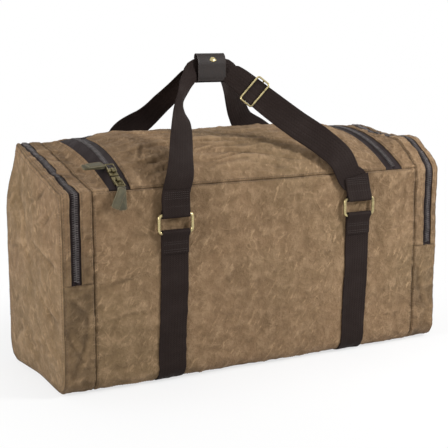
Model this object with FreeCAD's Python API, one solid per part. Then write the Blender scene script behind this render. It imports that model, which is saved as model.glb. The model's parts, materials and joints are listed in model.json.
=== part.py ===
"""Canvas duffel bag with a zipped lid, two zipped end pockets, brass rings and webbing handles.

Frame: +X along the length, +Y towards the back, +Z up, origin at the bottom centre. Millimetres.
"""

import FreeCAD, Part
import math
import os
from FreeCAD import Vector

# ---- bag body ----
LENGTH = 740.0  # outside, along X
DEPTH = 250.0  # outside, front panel to back panel
FRONT_HEIGHT = 333.0  # top seam of the front panel
BACK_HEIGHT = 390.0  # top seam of the back panel
DOME_SAGITTA = 26.0  # rise of the rounded top above the line between the two seams
CANVAS = 2.0  # canvas with its lining
CORNER_RADIUS = 22.0  # rounded bottom edges
GUSSET_WIDTH = 52.0  # width of the band round each end pocket
BASE_BOARD = 3.0  # stiffener board inside the bottom
BASE_BOARD_MARGIN = 4.0  # board edge to the canvas

# ---- webbing ----
WEBBING_WIDTH = 50.0
WEBBING = 2.5  # thickness
LEFT_STRAP = -176.0  # strap centres from the middle of the bag
RIGHT_STRAP = 188.0
STRAP_FOLD = 30.0  # stitched-back end below a ring
HANDLE_FOLD = 36.0  # stitched-back end above a ring

# ---- rings ----
RING_WIRE = 5.5  # wire diameter
RING_HEIGHT = 35.0  # outside
RING_SIDE_GAP = 2.7  # webbing edge to the ring's side wire
RING_CORNER = 6.0  # bend radius of the wire's centre line
RING_DROP = 62.0  # ring centre below the front seam
BAR_PLAY = 0.3  # webbing loop round a ring bar
FACE_PLAY = 0.45  # handle loop to the panel behind it

# ---- zips ----
TEETH_WIDTH = 10.0  # both rows of the main zip
TEETH_GAP = 0.4  # between the two rows
TEETH_ABOVE = 1.5  # teeth above the canvas face
TEETH_BELOW = 2.5  # teeth below the canvas face
TAPE = 1.2  # tape thickness
TAPE_SINK = 0.4  # tape below the canvas face
MAIN_TAPE = 17.0  # visible tape beside the main teeth
ARM_OFFSET = 270.0  # main zip arms from the middle of the bag
BACK_STRIP = 8.0  # canvas between the zip's back run and the back seam
FRONT_STRIP = 60.0  # fixed canvas between the front seam and the lid's fold
FOLD_GAP = 0.3  # beside each fold line
TEETH_START = 3.0  # first teeth from the front seam
TEETH_SETBACK = 2.5  # moving teeth from their fold line
POCKET_TAPE = 4.0  # visible tape beside the pocket teeth
POCKET_ZIP_INSET = 22.0  # pocket zip's centre from the bag's end
POCKET_ZIP_END = 185.0  # lower ends of the pocket zips
POCKET_FOLD = 220.0  # fold line of the pocket flaps

# ---- sliders and pulls ----
SLIDER_LENGTH = 20.0
SLIDER_PLATE = 2.0
SLIDER_FLANGE = 2.0
SLIDER_PLAY = 0.3
SLIDER_STOP = 8.0  # front slider to the front seam
SLIDER_PITCH = 22.5  # between the two parked main sliders
BRIDGE_LENGTH = 10.0
BRIDGE_WIDTH = 4.0
BRIDGE_HEIGHT = 4.6
BRIDGE_WALL = 1.2
PULLER_WIRE = 1.8
PULLER_WIDTH = 15.2
PULLER_LENGTH = 18.0
PULL_SLOPE = 0.5  # the front pull's fall over its reach towards the front
TAB_WIDTH = 13.0
TAB_LENGTH = 38.0
TAB = 3.0
TAB_LEAN = 0.12  # the front tab hangs out from the panel by this slope
TAB_LIFT = 1.2  # side-lying tab above the canvas

# ---- handles ----
GRIP_HEIGHT = 517.0  # centre of the grip
GRIP_OFFSET = -45.0  # the grip leans towards the left
GRIP_LENGTH = 54.0
GRIP_LEATHER = 2.5
GRIP_PLAY = 0.4
GRIP_WEBBING = 40.0  # webbing drawn in to this width inside the grip
GRIP_MARGIN = 6.0  # level webbing beyond each end of the grip
HANDLE_UPRIGHT = 22.0  # the handles stand upright to here above the panels' top seams
# Each route runs from a ring to the grip. Its points are the share of the way sideways, the share of
# the way from the upright stretch's top to the grip, and the webbing's width there.
FRONT_LEFT_ROUTE = (
    (0.09, 0.0, 50.0),
    (0.28, 0.28, 47.0),
    (0.42, 0.49, 43.0),
    (0.53, 0.67, 36.0),
    (0.79, 0.88, 32.0),
)
FRONT_RIGHT_ROUTE = (
    (0.08, -0.18, 50.0),
    (0.19, 0.03, 50.0),
    (0.32, 0.215, 50.0),
    (0.505, 0.4, 50.0),
    (0.705, 0.627, 49.0),
    (0.9, 0.847, 45.0),
    (0.96, 0.914, 41.0),
)
BACK_LEFT_ROUTE = (
    (0.03, -0.5, 50.0),
    (0.14, -0.19, 48.0),
    (0.53, 0.08, 44.0),
    (0.72, 0.42, 41.0),
    (0.89, 0.76, 34.0),
)
BACK_RIGHT_ROUTE = (
    (0.03, -0.75, 50.0),
    (0.13, -0.47, 50.0),
    (0.29, -0.24, 50.0),
    (0.45, -0.06, 50.0),
    (0.585, 0.19, 48.0),
    (0.73, 0.49, 45.0),
    (0.88, 0.79, 38.0),
)
HANDLE_GAP = 0.5  # between the two handles in the grip
SNAP_RADIUS = 7.0
SNAP_HEIGHT = 3.0
SNAP_DROP = 10.0  # snap's centre below the top of the grip
ADJUSTER_BAR = 3.0
ADJUSTER_LENGTH = 28.0
ADJUSTER_PLAY = 0.3
ADJUSTER_SIDE_GAP = 2.0  # webbing edge to the slide's side bar

# ---- values that follow ----
SHELL_BOTTOM = WEBBING
HALF_DEPTH = DEPTH / 2
HALF_LENGTH = LENGTH / 2
MAIN_HALF = HALF_LENGTH - GUSSET_WIDTH
CHORD = math.hypot(DEPTH, BACK_HEIGHT - FRONT_HEIGHT)
DOME_RADIUS = (CHORD**2 / 4 + DOME_SAGITTA**2) / (2 * DOME_SAGITTA)
DOME_DROP = DOME_RADIUS - DOME_SAGITTA
DOME_Y = DOME_DROP * (BACK_HEIGHT - FRONT_HEIGHT) / CHORD
DOME_Z = (FRONT_HEIGHT + BACK_HEIGHT) / 2 - DOME_DROP * DEPTH / CHORD
FRONT_ANGLE = -math.degrees(math.asin((HALF_DEPTH + DOME_Y) / DOME_RADIUS))
BACK_ANGLE = math.degrees(math.asin((HALF_DEPTH - DOME_Y) / DOME_RADIUS))
MAIN_BAND = TEETH_WIDTH + 2 * MAIN_TAPE
TAPE_TOP = DOME_RADIUS - TAPE_SINK
RING_SPAN = RING_HEIGHT - RING_WIRE
RING_CENTRE = FRONT_HEIGHT - RING_DROP
LOWER_BAR = RING_CENTRE - RING_SPAN / 2
UPPER_BAR = RING_CENTRE + RING_SPAN / 2
LOOP_INNER = RING_WIRE / 2 + BAR_PLAY
LOOP_OUTER = LOOP_INNER + WEBBING
BAR_Y = HALF_DEPTH + FACE_PLAY + LOOP_OUTER
POCKET_ZIP_X = HALF_LENGTH - POCKET_ZIP_INSET


def arc_angle(distance):
    """Angle in degrees that a distance along the rounded top spans."""
    return math.degrees(distance / DOME_RADIUS)


FOLD_ANGLE = FRONT_ANGLE + arc_angle(FRONT_STRIP)
BACK_ZIP_ANGLE = BACK_ANGLE - arc_angle(BACK_STRIP + MAIN_BAND / 2)


# ---- basic shapes ----
def dome_point(radius, angle, x=0.0):
    """Point at a radius and an angle from upright, about the axis of the rounded top."""
    turn = math.radians(angle)
    return Vector(x, DOME_Y + radius * math.sin(turn), DOME_Z + radius * math.cos(turn))


def line(first, second):
    return Part.makeLine(first, second)


def arc(first, middle, last):
    return Part.Arc(first, middle, last).toShape()


def extruded(edges, x_start, x_end):
    """Solid between two X positions from a closed outline drawn at X = 0."""
    face = Part.Face(Part.Wire(edges))
    solid = face.extrude(Vector(x_end - x_start, 0, 0))
    solid.translate(Vector(x_start, 0, 0))
    return solid


def block(x_start, x_end, y_start, y_end, z_start, z_end):
    corner = Vector(min(x_start, x_end), min(y_start, y_end), min(z_start, z_end))
    return Part.makeBox(abs(x_end - x_start), abs(y_end - y_start), abs(z_end - z_start), corner)


def dome_band(inner, outer, start, end, x_start, x_end):
    """Curved strip of the rounded top between two radii, two angles and two X positions."""
    middle = (start + end) / 2
    edges = [
        arc(dome_point(outer, start), dome_point(outer, middle), dome_point(outer, end)),
        line(dome_point(outer, end), dome_point(inner, end)),
        arc(dome_point(inner, end), dome_point(inner, middle), dome_point(inner, start)),
        line(dome_point(inner, start), dome_point(outer, start)),
    ]
    return extruded(edges, x_start, x_end)


def corner_arc(side, radius, bottom, reach):
    """Rounded bottom corner at the front (side -1) or the back (side 1)."""
    centre_y = side * (HALF_DEPTH + reach - radius)
    centre_z = bottom + radius
    slant = radius * math.sqrt(0.5)
    return arc(
        Vector(0, centre_y + side * radius, centre_z),
        Vector(0, centre_y + side * slant, centre_z - slant),
        Vector(0, centre_y, bottom),
    )


def trough(reach, bottom, thickness, top, x_start, x_end):
    """U-shaped sheet round the bottom; its outer face stands `reach` outside the panels."""
    radius = CORNER_RADIUS + reach
    outer_y = HALF_DEPTH + reach
    inner_y = outer_y - thickness
    flat = HALF_DEPTH - CORNER_RADIUS
    knee = bottom + radius
    edges = [
        corner_arc(-1, radius, bottom, reach),
        line(Vector(0, -flat, bottom), Vector(0, flat, bottom)),
        corner_arc(1, radius, bottom, reach),
        corner_arc(1, radius - thickness, bottom + thickness, reach - thickness),
        line(Vector(0, flat, bottom + thickness), Vector(0, -flat, bottom + thickness)),
        corner_arc(-1, radius - thickness, bottom + thickness, reach - thickness),
    ]
    for side in (-1, 1):
        if top > knee:
            edges.append(line(Vector(0, side * outer_y, knee), Vector(0, side * outer_y, top)))
            edges.append(line(Vector(0, side * inner_y, top), Vector(0, side * inner_y, knee)))
        edges.append(line(Vector(0, side * outer_y, top), Vector(0, side * inner_y, top)))
    return extruded(Part.__sortEdges__(edges), x_start, x_end)


def hood(rise, sink, base, x_start, x_end):
    """Sheet up the front, over the rounded top and down the back, above a base height.

    Its outer face stands `rise` outside the canvas face and its inner face `sink` inside it.
    """

    def outline(offset):
        radius = DOME_RADIUS + offset
        wall = HALF_DEPTH + offset
        front = -math.degrees(math.asin((wall + DOME_Y) / radius))
        back = math.degrees(math.asin((wall - DOME_Y) / radius))
        middle = (front + back) / 2
        return wall, dome_point(radius, front), dome_point(radius, middle), dome_point(radius, back)

    outer_wall, outer_front, outer_top, outer_back = outline(rise)
    inner_wall, inner_front, inner_top, inner_back = outline(-sink)
    edges = [
        line(Vector(0, -outer_wall, base), outer_front),
        arc(outer_front, outer_top, outer_back),
        line(outer_back, Vector(0, outer_wall, base)),
        line(Vector(0, outer_wall, base), Vector(0, inner_wall, base)),
        line(Vector(0, inner_wall, base), inner_back),
        arc(inner_back, inner_top, inner_front),
        line(inner_front, Vector(0, -inner_wall, base)),
        line(Vector(0, -inner_wall, base), Vector(0, -outer_wall, base)),
    ]
    return extruded(edges, x_start, x_end)


def end_sheet(base, top_cut, inset, x_start, x_end):
    """Flat sheet with the bag's side outline, from a base height up, or up to a cut."""
    wall = HALF_DEPTH - inset
    radius = DOME_RADIUS - inset
    front = -math.degrees(math.asin((wall + DOME_Y) / radius))
    back = math.degrees(math.asin((wall - DOME_Y) / radius))
    start, end = dome_point(radius, front), dome_point(radius, back)
    bottom = SHELL_BOTTOM + inset
    corner = CORNER_RADIUS - inset
    flat = wall - corner
    edges = [
        line(Vector(0, -flat, bottom), Vector(0, flat, bottom)),
        corner_arc(1, corner, bottom, -inset),
        line(Vector(0, wall, bottom + corner), end),
        arc(end, dome_point(radius, (front + back) / 2), start),
        line(start, Vector(0, -wall, bottom + corner)),
        corner_arc(-1, corner, bottom, -inset),
    ]
    sheet = extruded(Part.__sortEdges__(edges), x_start, x_end)
    keep = block(x_start, x_end, -DEPTH, DEPTH, base, top_cut)
    return sheet.common(keep)


def fused(solids):
    return solids[0].fuse(solids[1:]).removeSplitter()


# ---- main compartment ----
def make_panels():
    inner = HALF_DEPTH - CANVAS
    knee = SHELL_BOTTOM + CORNER_RADIUS
    front_top = dome_point(DOME_RADIUS - CANVAS, FRONT_ANGLE).z
    back_top = dome_point(DOME_RADIUS - CANVAS, BACK_ANGLE).z
    board = inner - CORNER_RADIUS
    board_half = MAIN_HALF - CANVAS - BASE_BOARD_MARGIN
    board_bottom = SHELL_BOTTOM + CANVAS
    sheet = DOME_RADIUS - CANVAS
    shoulder = ARM_OFFSET + MAIN_BAND / 2
    strip_half = ARM_OFFSET - MAIN_BAND / 2
    back_strip = BACK_ANGLE - arc_angle(BACK_STRIP)
    parts = {
        "front_panel": block(-MAIN_HALF, MAIN_HALF, -HALF_DEPTH, -inner, knee, front_top),
        "back_panel": block(-MAIN_HALF, MAIN_HALF, inner, HALF_DEPTH, knee, back_top),
        "bottom_panel": trough(0, SHELL_BOTTOM, CANVAS, knee, -MAIN_HALF, MAIN_HALF),
        "base_board": block(-board_half, board_half, -board, board, board_bottom, board_bottom + BASE_BOARD),
        "front_top_strip": dome_band(sheet, DOME_RADIUS, FRONT_ANGLE, FOLD_ANGLE, -strip_half, strip_half),
        "back_top_strip": dome_band(sheet, DOME_RADIUS, back_strip, BACK_ANGLE, -shoulder, shoulder),
    }
    for name, side in (("left", -1), ("right", 1)):
        parts[f"{name}_shoulder"] = dome_band(
            sheet, DOME_RADIUS, FRONT_ANGLE, BACK_ANGLE, side * shoulder, side * MAIN_HALF
        )
    return parts


def make_lid():
    half = ARM_OFFSET - MAIN_BAND / 2
    start = FOLD_ANGLE + arc_angle(FOLD_GAP)
    end = BACK_ZIP_ANGLE - arc_angle(MAIN_BAND / 2)
    return dome_band(DOME_RADIUS - CANVAS, DOME_RADIUS, start, end, -half, half)


def zip_rows(inner, outer, near, far, setback):
    """U-shaped row on the fixed side, its twin on the lid and the short front ends.

    `near` and `far` are the row's edges, measured out from the middle of the zip.
    """
    front_end = FRONT_ANGLE + arc_angle(setback)
    near_angle, far_angle = arc_angle(near), arc_angle(far)
    lid_start = FOLD_ANGLE + arc_angle(TEETH_SETBACK)
    fixed, moving, front = [], [], []
    for side in (-1, 1):
        fixed.append(
            dome_band(
                inner,
                outer,
                front_end,
                BACK_ZIP_ANGLE + far_angle,
                side * (ARM_OFFSET + near),
                side * (ARM_OFFSET + far),
            )
        )
        lid_x = (side * (ARM_OFFSET - far), side * (ARM_OFFSET - near))
        moving.append(dome_band(inner, outer, lid_start, BACK_ZIP_ANGLE - near_angle, *lid_x))
        front.append(dome_band(inner, outer, front_end, FOLD_ANGLE, *lid_x))
    reach = ARM_OFFSET + near
    fixed.append(
        dome_band(inner, outer, BACK_ZIP_ANGLE + near_angle, BACK_ZIP_ANGLE + far_angle, -reach, reach)
    )
    reach = ARM_OFFSET - far
    moving.append(
        dome_band(inner, outer, BACK_ZIP_ANGLE - far_angle, BACK_ZIP_ANGLE - near_angle, -reach, reach)
    )
    return fused(fixed), fused(moving), Part.makeCompound(front)


def make_main_zip():
    half_teeth = TEETH_WIDTH / 2
    base, crown = DOME_RADIUS - TEETH_BELOW, DOME_RADIUS + TEETH_ABOVE
    teeth = zip_rows(base, crown, TEETH_GAP / 2, half_teeth, TEETH_START)
    tape = zip_rows(TAPE_TOP - TAPE, TAPE_TOP, half_teeth, half_teeth + MAIN_TAPE, 0.0)
    return {
        "main_zip_body_teeth": teeth[0],
        "lid_zip_teeth": teeth[1],
        "main_zip_front_teeth": teeth[2],
        "main_zip_body_tape": tape[0],
        "lid_zip_tape": tape[1],
        "main_zip_front_tape": tape[2],
    }


# ---- end pockets ----
def make_pocket(name, side):
    """One end pocket: fixed band and sheets, and the flap that folds outwards."""
    zip_inner = POCKET_ZIP_X - TEETH_WIDTH / 2 - POCKET_TAPE
    zip_outer = POCKET_ZIP_X + TEETH_WIDTH / 2 + POCKET_TAPE
    teeth_inner = (POCKET_ZIP_X - TEETH_WIDTH / 2, POCKET_ZIP_X - TEETH_GAP / 2)
    teeth_outer = (POCKET_ZIP_X + TEETH_GAP / 2, POCKET_ZIP_X + TEETH_WIDTH / 2)
    face = HALF_LENGTH - CANVAS
    flap_base = POCKET_FOLD + FOLD_GAP
    teeth_base = POCKET_FOLD + TEETH_SETBACK
    top = DOME_Z + DOME_RADIUS

    def at(span):
        return side * span[0], side * span[1]

    def stubs(rise, sink, span):
        whole = hood(rise, sink, POCKET_ZIP_END, *at(span))
        return whole.common(block(*at(span), -DEPTH, DEPTH, 0, POCKET_FOLD))

    tape_sink = TAPE_SINK + TAPE
    outer_tape = (teeth_outer[1], zip_outer)
    edge_strip = (zip_outer, face)
    lower = trough(0, SHELL_BOTTOM, CANVAS, POCKET_ZIP_END, *at((MAIN_HALF, face)))
    inner_tape = hood(-TAPE_SINK, tape_sink, POCKET_ZIP_END, *at((zip_inner, teeth_inner[0])))
    inner_teeth = hood(TEETH_ABOVE, TEETH_BELOW, POCKET_ZIP_END, *at(teeth_inner))
    outer_stubs = stubs(TEETH_ABOVE, TEETH_BELOW, teeth_outer)
    return {
        f"{name}_divider": end_sheet(0, 2 * top, CANVAS, *at((MAIN_HALF - CANVAS, MAIN_HALF))),
        f"{name}_gusset_lower": fused([lower, stubs(0, CANVAS, edge_strip)]),
        f"{name}_gusset_inner": hood(0, CANVAS, POCKET_ZIP_END, *at((MAIN_HALF, zip_inner))),
        f"{name}_end_panel": end_sheet(0, POCKET_FOLD, 0, *at((face, HALF_LENGTH))),
        f"{name}_pocket_tape": Part.makeCompound([inner_tape, stubs(-TAPE_SINK, tape_sink, outer_tape)]),
        f"{name}_pocket_teeth": Part.makeCompound([inner_teeth, outer_stubs]),
        f"{name}_flap_gusset": hood(0, CANVAS, flap_base, *at(edge_strip)),
        f"{name}_flap_panel": end_sheet(flap_base, 2 * top, 0, *at((face, HALF_LENGTH))),
        f"{name}_flap_tape": hood(-TAPE_SINK, tape_sink, teeth_base, *at(outer_tape)),
        f"{name}_flap_teeth": hood(TEETH_ABOVE, TEETH_BELOW, teeth_base, *at(teeth_outer)),
    }


# ---- sliders and pulls, drawn over X = 0 with the travel along local Y and up along local Z ----
def bridge(plate_top):
    """Arch over a slider's plate that holds the pull; its feet stand in the plate."""
    half_length, half_width = BRIDGE_LENGTH / 2, BRIDGE_WIDTH / 2
    top = plate_top + BRIDGE_HEIGHT
    foot = plate_top - SLIDER_PLATE / 2
    reach = half_length - BRIDGE_WALL
    outside = block(-half_width, half_width, -half_length, half_length, foot, top)
    return outside.cut(block(-half_width, half_width, -reach, reach, foot, top - BRIDGE_WALL))


def pull_axis():
    """Height of a pull's pivot above the canvas face."""
    return TEETH_ABOVE + SLIDER_PLAY + SLIDER_PLATE + (BRIDGE_HEIGHT - BRIDGE_WALL) / 2


def slider_half_width():
    return TEETH_WIDTH / 2 + SLIDER_PLAY + SLIDER_FLANGE


def flat_slider():
    """Slider for a straight run of teeth, over the canvas face at local Z = 0."""
    half, width = SLIDER_LENGTH / 2, slider_half_width()
    under = TEETH_ABOVE + SLIDER_PLAY
    plate = block(-width, width, -half, half, under, under + SLIDER_PLATE)
    flanges = [
        block(side * (width - SLIDER_FLANGE), side * width, -half, half, 0, under) for side in (-1, 1)
    ]
    return fused([plate] + flanges + [bridge(under + SLIDER_PLATE)])


def curved_slider(angle, x):
    """Slider that follows the rounded top."""
    half, width = arc_angle(SLIDER_LENGTH / 2), slider_half_width()
    under = DOME_RADIUS + TEETH_ABOVE + SLIDER_PLAY
    pieces = [dome_band(under, under + SLIDER_PLATE, angle - half, angle + half, x - width, x + width)]
    for side in (-1, 1):
        edges = sorted((x + side * width, x + side * (width - SLIDER_FLANGE)))
        pieces.append(dome_band(DOME_RADIUS, under, angle - half, angle + half, *edges))
    pieces.append(placed_on_dome(bridge(under + SLIDER_PLATE - DOME_RADIUS), angle, x))
    return fused(pieces)


def placed_on_dome(shape, angle, x):
    """Stands a shape drawn about local Z on the rounded top."""
    moved = shape.copy()
    moved.rotate(Vector(0, 0, 0), Vector(1, 0, 0), -angle)
    moved.translate(dome_point(DOME_RADIUS, angle, x))
    return moved


def puller(pivot, direction):
    """Brass wire frame that hangs from a pivot in the direction given in the YZ plane."""
    half = (PULLER_WIDTH - PULLER_WIRE) / 2
    radius = PULLER_WIRE / 2
    far = pivot + direction * PULLER_LENGTH
    wires = []
    for end in (pivot, far):
        wires.append(Part.makeCylinder(radius, 2 * half, end - Vector(half, 0, 0), Vector(1, 0, 0)))
    for side in (-1, 1):
        start = pivot + Vector(side * half, 0, 0)
        wires.append(Part.makeCylinder(radius, PULLER_LENGTH, start, direction))
        wires.append(Part.makeSphere(radius, start))
        wires.append(Part.makeSphere(radius, start + direction * PULLER_LENGTH))
    return fused(wires)


def leather_tab(end, direction, normal):
    """Leather tab from a point on the puller, TAB thick along the normal."""
    width_way = direction.cross(normal)
    corner = end - width_way * (TAB_WIDTH / 2) - normal * (TAB / 2)
    outline = Part.makePolygon(
        [
            corner,
            corner + width_way * TAB_WIDTH,
            corner + width_way * TAB_WIDTH + direction * TAB_LENGTH,
            corner + direction * TAB_LENGTH,
            corner,
        ]
    )
    return Part.Face(outline).extrude(normal * TAB)


def looped_tab(end, direction, normal):
    """Tab folded round the far wire of its puller."""
    axis = Vector(1, 0, 0)
    loop = PULLER_WIRE / 2 + BAR_PLAY
    eye = Part.makeCylinder(loop, TAB_WIDTH + TAB, end - axis * ((TAB_WIDTH + TAB) / 2), axis)
    return leather_tab(end + direction * loop, direction, normal).cut(eye)


def make_main_sliders():
    front_angle = FRONT_ANGLE + arc_angle(SLIDER_STOP + SLIDER_LENGTH / 2)
    rear_angle = front_angle + arc_angle(SLIDER_PITCH)
    x = -ARM_OFFSET
    front_pivot = dome_point(DOME_RADIUS + pull_axis(), front_angle, x)
    rear_pivot = dome_point(DOME_RADIUS + pull_axis(), rear_angle, x)
    forward = Vector(0, -1, -PULL_SLOPE).normalize()
    hang = Vector(0, -TAB_LEAN, -1).normalize()
    leftward = Vector(-1, 0, 0)
    upright = (dome_point(DOME_RADIUS + 1, rear_angle) - dome_point(DOME_RADIUS, rear_angle)).normalize()
    backward = Vector(-1, 0, 0).cross(upright)
    side_root = dome_point(DOME_RADIUS + TAB / 2 + TAB_LIFT, rear_angle, x - slider_half_width() - BAR_PLAY)
    side_root += backward * PULLER_LENGTH
    return {
        "front_slider": curved_slider(front_angle, x),
        "rear_slider": curved_slider(rear_angle, x),
        "front_puller": puller(front_pivot, forward),
        "rear_puller": puller(rear_pivot, backward),
        "front_tab": looped_tab(front_pivot + forward * PULLER_LENGTH, hang, leftward.cross(hang)),
        "rear_tab": leather_tab(side_root, leftward, upright),
    }


def make_pocket_slider(name, side):
    """Slider at the lower end of a pocket zip's back run, with its pull hanging."""
    slider = flat_slider()
    slider.rotate(Vector(0, 0, 0), Vector(1, 0, 0), -90)
    height = POCKET_ZIP_END + SLIDER_STOP + SLIDER_LENGTH / 2
    slider.translate(Vector(side * POCKET_ZIP_X, HALF_DEPTH, height))
    pivot = Vector(side * POCKET_ZIP_X, HALF_DEPTH + pull_axis(), height)
    down = Vector(0, 0, -1)
    return {
        f"{name}_pocket_slider": slider,
        f"{name}_pocket_puller": puller(pivot, down),
        f"{name}_pocket_tab": looped_tab(pivot + down * PULLER_LENGTH, down, Vector(0, 1, 0)),
    }


# ---- body straps, rings and handles ----
def loop_round(side, height, x):
    """Webbing eye round a ring bar."""
    half = WEBBING_WIDTH / 2
    start = Vector(x - half, side * BAR_Y, height)
    return Part.makeCylinder(LOOP_OUTER, WEBBING_WIDTH, start, Vector(1, 0, 0))


def bar_hole(side, height, x):
    start = Vector(x - WEBBING_WIDTH, side * BAR_Y, height)
    return Part.makeCylinder(LOOP_INNER, 2 * WEBBING_WIDTH, start, Vector(1, 0, 0))


def make_body_strap(x):
    """Webbing round the bag from the front ring to the back ring, under the bottom."""
    half = WEBBING_WIDTH / 2
    pieces = [trough(WEBBING, 0, WEBBING, LOWER_BAR, x - half, x + half)]
    for side in (-1, 1):
        near = side * (HALF_DEPTH + WEBBING)
        far = side * (HALF_DEPTH + 2 * WEBBING)
        pieces.append(
            block(x - half, x + half, near, far, LOWER_BAR - LOOP_OUTER - STRAP_FOLD, LOWER_BAR)
        )
        pieces.append(loop_round(side, LOWER_BAR, x))
    strap = fused(pieces)
    for side in (-1, 1):
        strap = strap.cut(bar_hole(side, LOWER_BAR, x))
    return strap


def make_ring(side, x):
    """Rectangular wire ring standing flat against the panel."""
    half_x = WEBBING_WIDTH / 2 + RING_SIDE_GAP + RING_WIRE / 2
    y = side * BAR_Y
    bend = RING_CORNER
    slant = bend * (1 - math.sqrt(0.5))
    left, right, low, high = x - half_x, x + half_x, LOWER_BAR, UPPER_BAR
    edges = []
    for x_edge, x_way in ((left, 1), (right, -1)):
        edges.append(line(Vector(x_edge, y, low + bend), Vector(x_edge, y, high - bend)))
        for z_edge, z_way in ((low, 1), (high, -1)):
            edges.append(
                arc(
                    Vector(x_edge, y, z_edge + z_way * bend),
                    Vector(x_edge + x_way * slant, y, z_edge + z_way * slant),
                    Vector(x_edge + x_way * bend, y, z_edge),
                )
            )
    for z_edge in (low, high):
        edges.append(line(Vector(left + bend, y, z_edge), Vector(right - bend, y, z_edge)))
    path = Part.Wire(Part.__sortEdges__(edges))
    start = path.Vertexes[0].Point
    first = path.OrderedEdges[0]
    tangent = first.tangentAt(first.FirstParameter)
    section = Part.Wire(Part.makeCircle(RING_WIRE / 2, start, tangent))
    return path.makePipeShell([section], True, True)


def ribbon_section(centre, tangent, width):
    """Rectangle of webbing across its run, facing the front and the back."""
    face = Vector(0, 1, 0)
    face = (face - tangent * face.dot(tangent)).normalize()
    across = face.cross(tangent) * (width / 2)
    through = face * (WEBBING / 2)
    corners = [centre - across - through, centre + across - through]
    corners += [centre + across + through, centre - across + through]
    return Part.makePolygon(corners + [corners[0]])


def handle_stations(side):
    """Centre and width of a handle's sections from its left ring to its right one."""
    if side < 0:
        left, right = FRONT_LEFT_ROUTE, FRONT_RIGHT_ROUTE
    else:
        left, right = BACK_LEFT_ROUTE, BACK_RIGHT_ROUTE
    grip_y = side * (HANDLE_GAP + WEBBING) / 2
    root = side * BAR_Y
    upright = (FRONT_HEIGHT if side < 0 else BACK_HEIGHT) + HANDLE_UPRIGHT
    stations = []
    for end, ring_x, route in ((-1, LEFT_STRAP, left), (1, RIGHT_STRAP, right)):
        grip_x = GRIP_OFFSET + end * (GRIP_LENGTH / 2 + GRIP_MARGIN)
        points = [(Vector(ring_x, root, UPPER_BAR + LOOP_OUTER), WEBBING_WIDTH)]
        for sideways, upwards, width in route:
            x = ring_x + (grip_x - ring_x) * sideways
            z = upright + (GRIP_HEIGHT - upright) * upwards
            y = root + (grip_y - root) * max(upwards, 0.0)
            points.append((Vector(x, y, z), width))
        points.append((Vector(grip_x, grip_y, GRIP_HEIGHT), GRIP_WEBBING))
        stations += points if end < 0 else points[::-1]
    return stations


def handle_tangent(stations, index):
    """Direction of the run at a station; it leaves the rings upright and the grip level."""
    last = len(stations) - 1
    if index == 0:
        return Vector(0, 0, 1)
    if index == last:
        return Vector(0, 0, -1)
    if stations[index][1] == GRIP_WEBBING:
        return Vector(1, 0, 0)
    return (stations[index + 1][0] - stations[index - 1][0]).normalize()


def make_handle(side):
    stations = handle_stations(side)
    sections = []
    for index, (centre, width) in enumerate(stations):
        sections.append(ribbon_section(centre, handle_tangent(stations, index), width))
    pieces = []
    for first, second in zip(sections, sections[1:]):
        pieces.append(Part.makeLoft([first, second], True, True))
    half = WEBBING_WIDTH / 2
    near = side * (BAR_Y - WEBBING / 2)
    middle = side * (BAR_Y + WEBBING / 2)
    far = side * (BAR_Y + 1.5 * WEBBING)
    top = UPPER_BAR + LOOP_OUTER
    for x in (LEFT_STRAP, RIGHT_STRAP):
        pieces.append(loop_round(side, UPPER_BAR, x))
        pieces.append(block(x - half, x + half, near, far, UPPER_BAR, top))
        pieces.append(block(x - half, x + half, middle, far, UPPER_BAR, top + HANDLE_FOLD))
    handle = pieces[0].fuse(pieces[1:])
    for x in (LEFT_STRAP, RIGHT_STRAP):
        handle = handle.cut(bar_hole(side, UPPER_BAR, x))
    return handle


def make_grip():
    """Leather wrap sewn to the back handle, its flap over the top and down the front, and a snap."""
    left, right = GRIP_OFFSET - GRIP_LENGTH / 2, GRIP_OFFSET + GRIP_LENGTH / 2
    half = GRIP_WEBBING / 2 + GRIP_PLAY
    inner_y = HANDLE_GAP / 2 + WEBBING + GRIP_PLAY
    outer_y = inner_y + GRIP_LEATHER
    low, high = GRIP_HEIGHT - half, GRIP_HEIGHT + half
    floor = block(left, right, -inner_y, outer_y, low - GRIP_LEATHER, low)
    back = block(left, right, inner_y, outer_y, low, high)
    roof = block(left, right, -outer_y, outer_y, high, high + GRIP_LEATHER)
    front = block(left, right, -outer_y, -inner_y, low - GRIP_LEATHER, high)
    centre = Vector(GRIP_OFFSET, -outer_y, high - SNAP_DROP)
    return {
        "grip_wrap": fused([floor, back]),
        "grip_flap": fused([roof, front]),
        "grip_snap": Part.makeCylinder(SNAP_RADIUS, SNAP_HEIGHT, centre, Vector(0, -1, 0)),
    }


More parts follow.
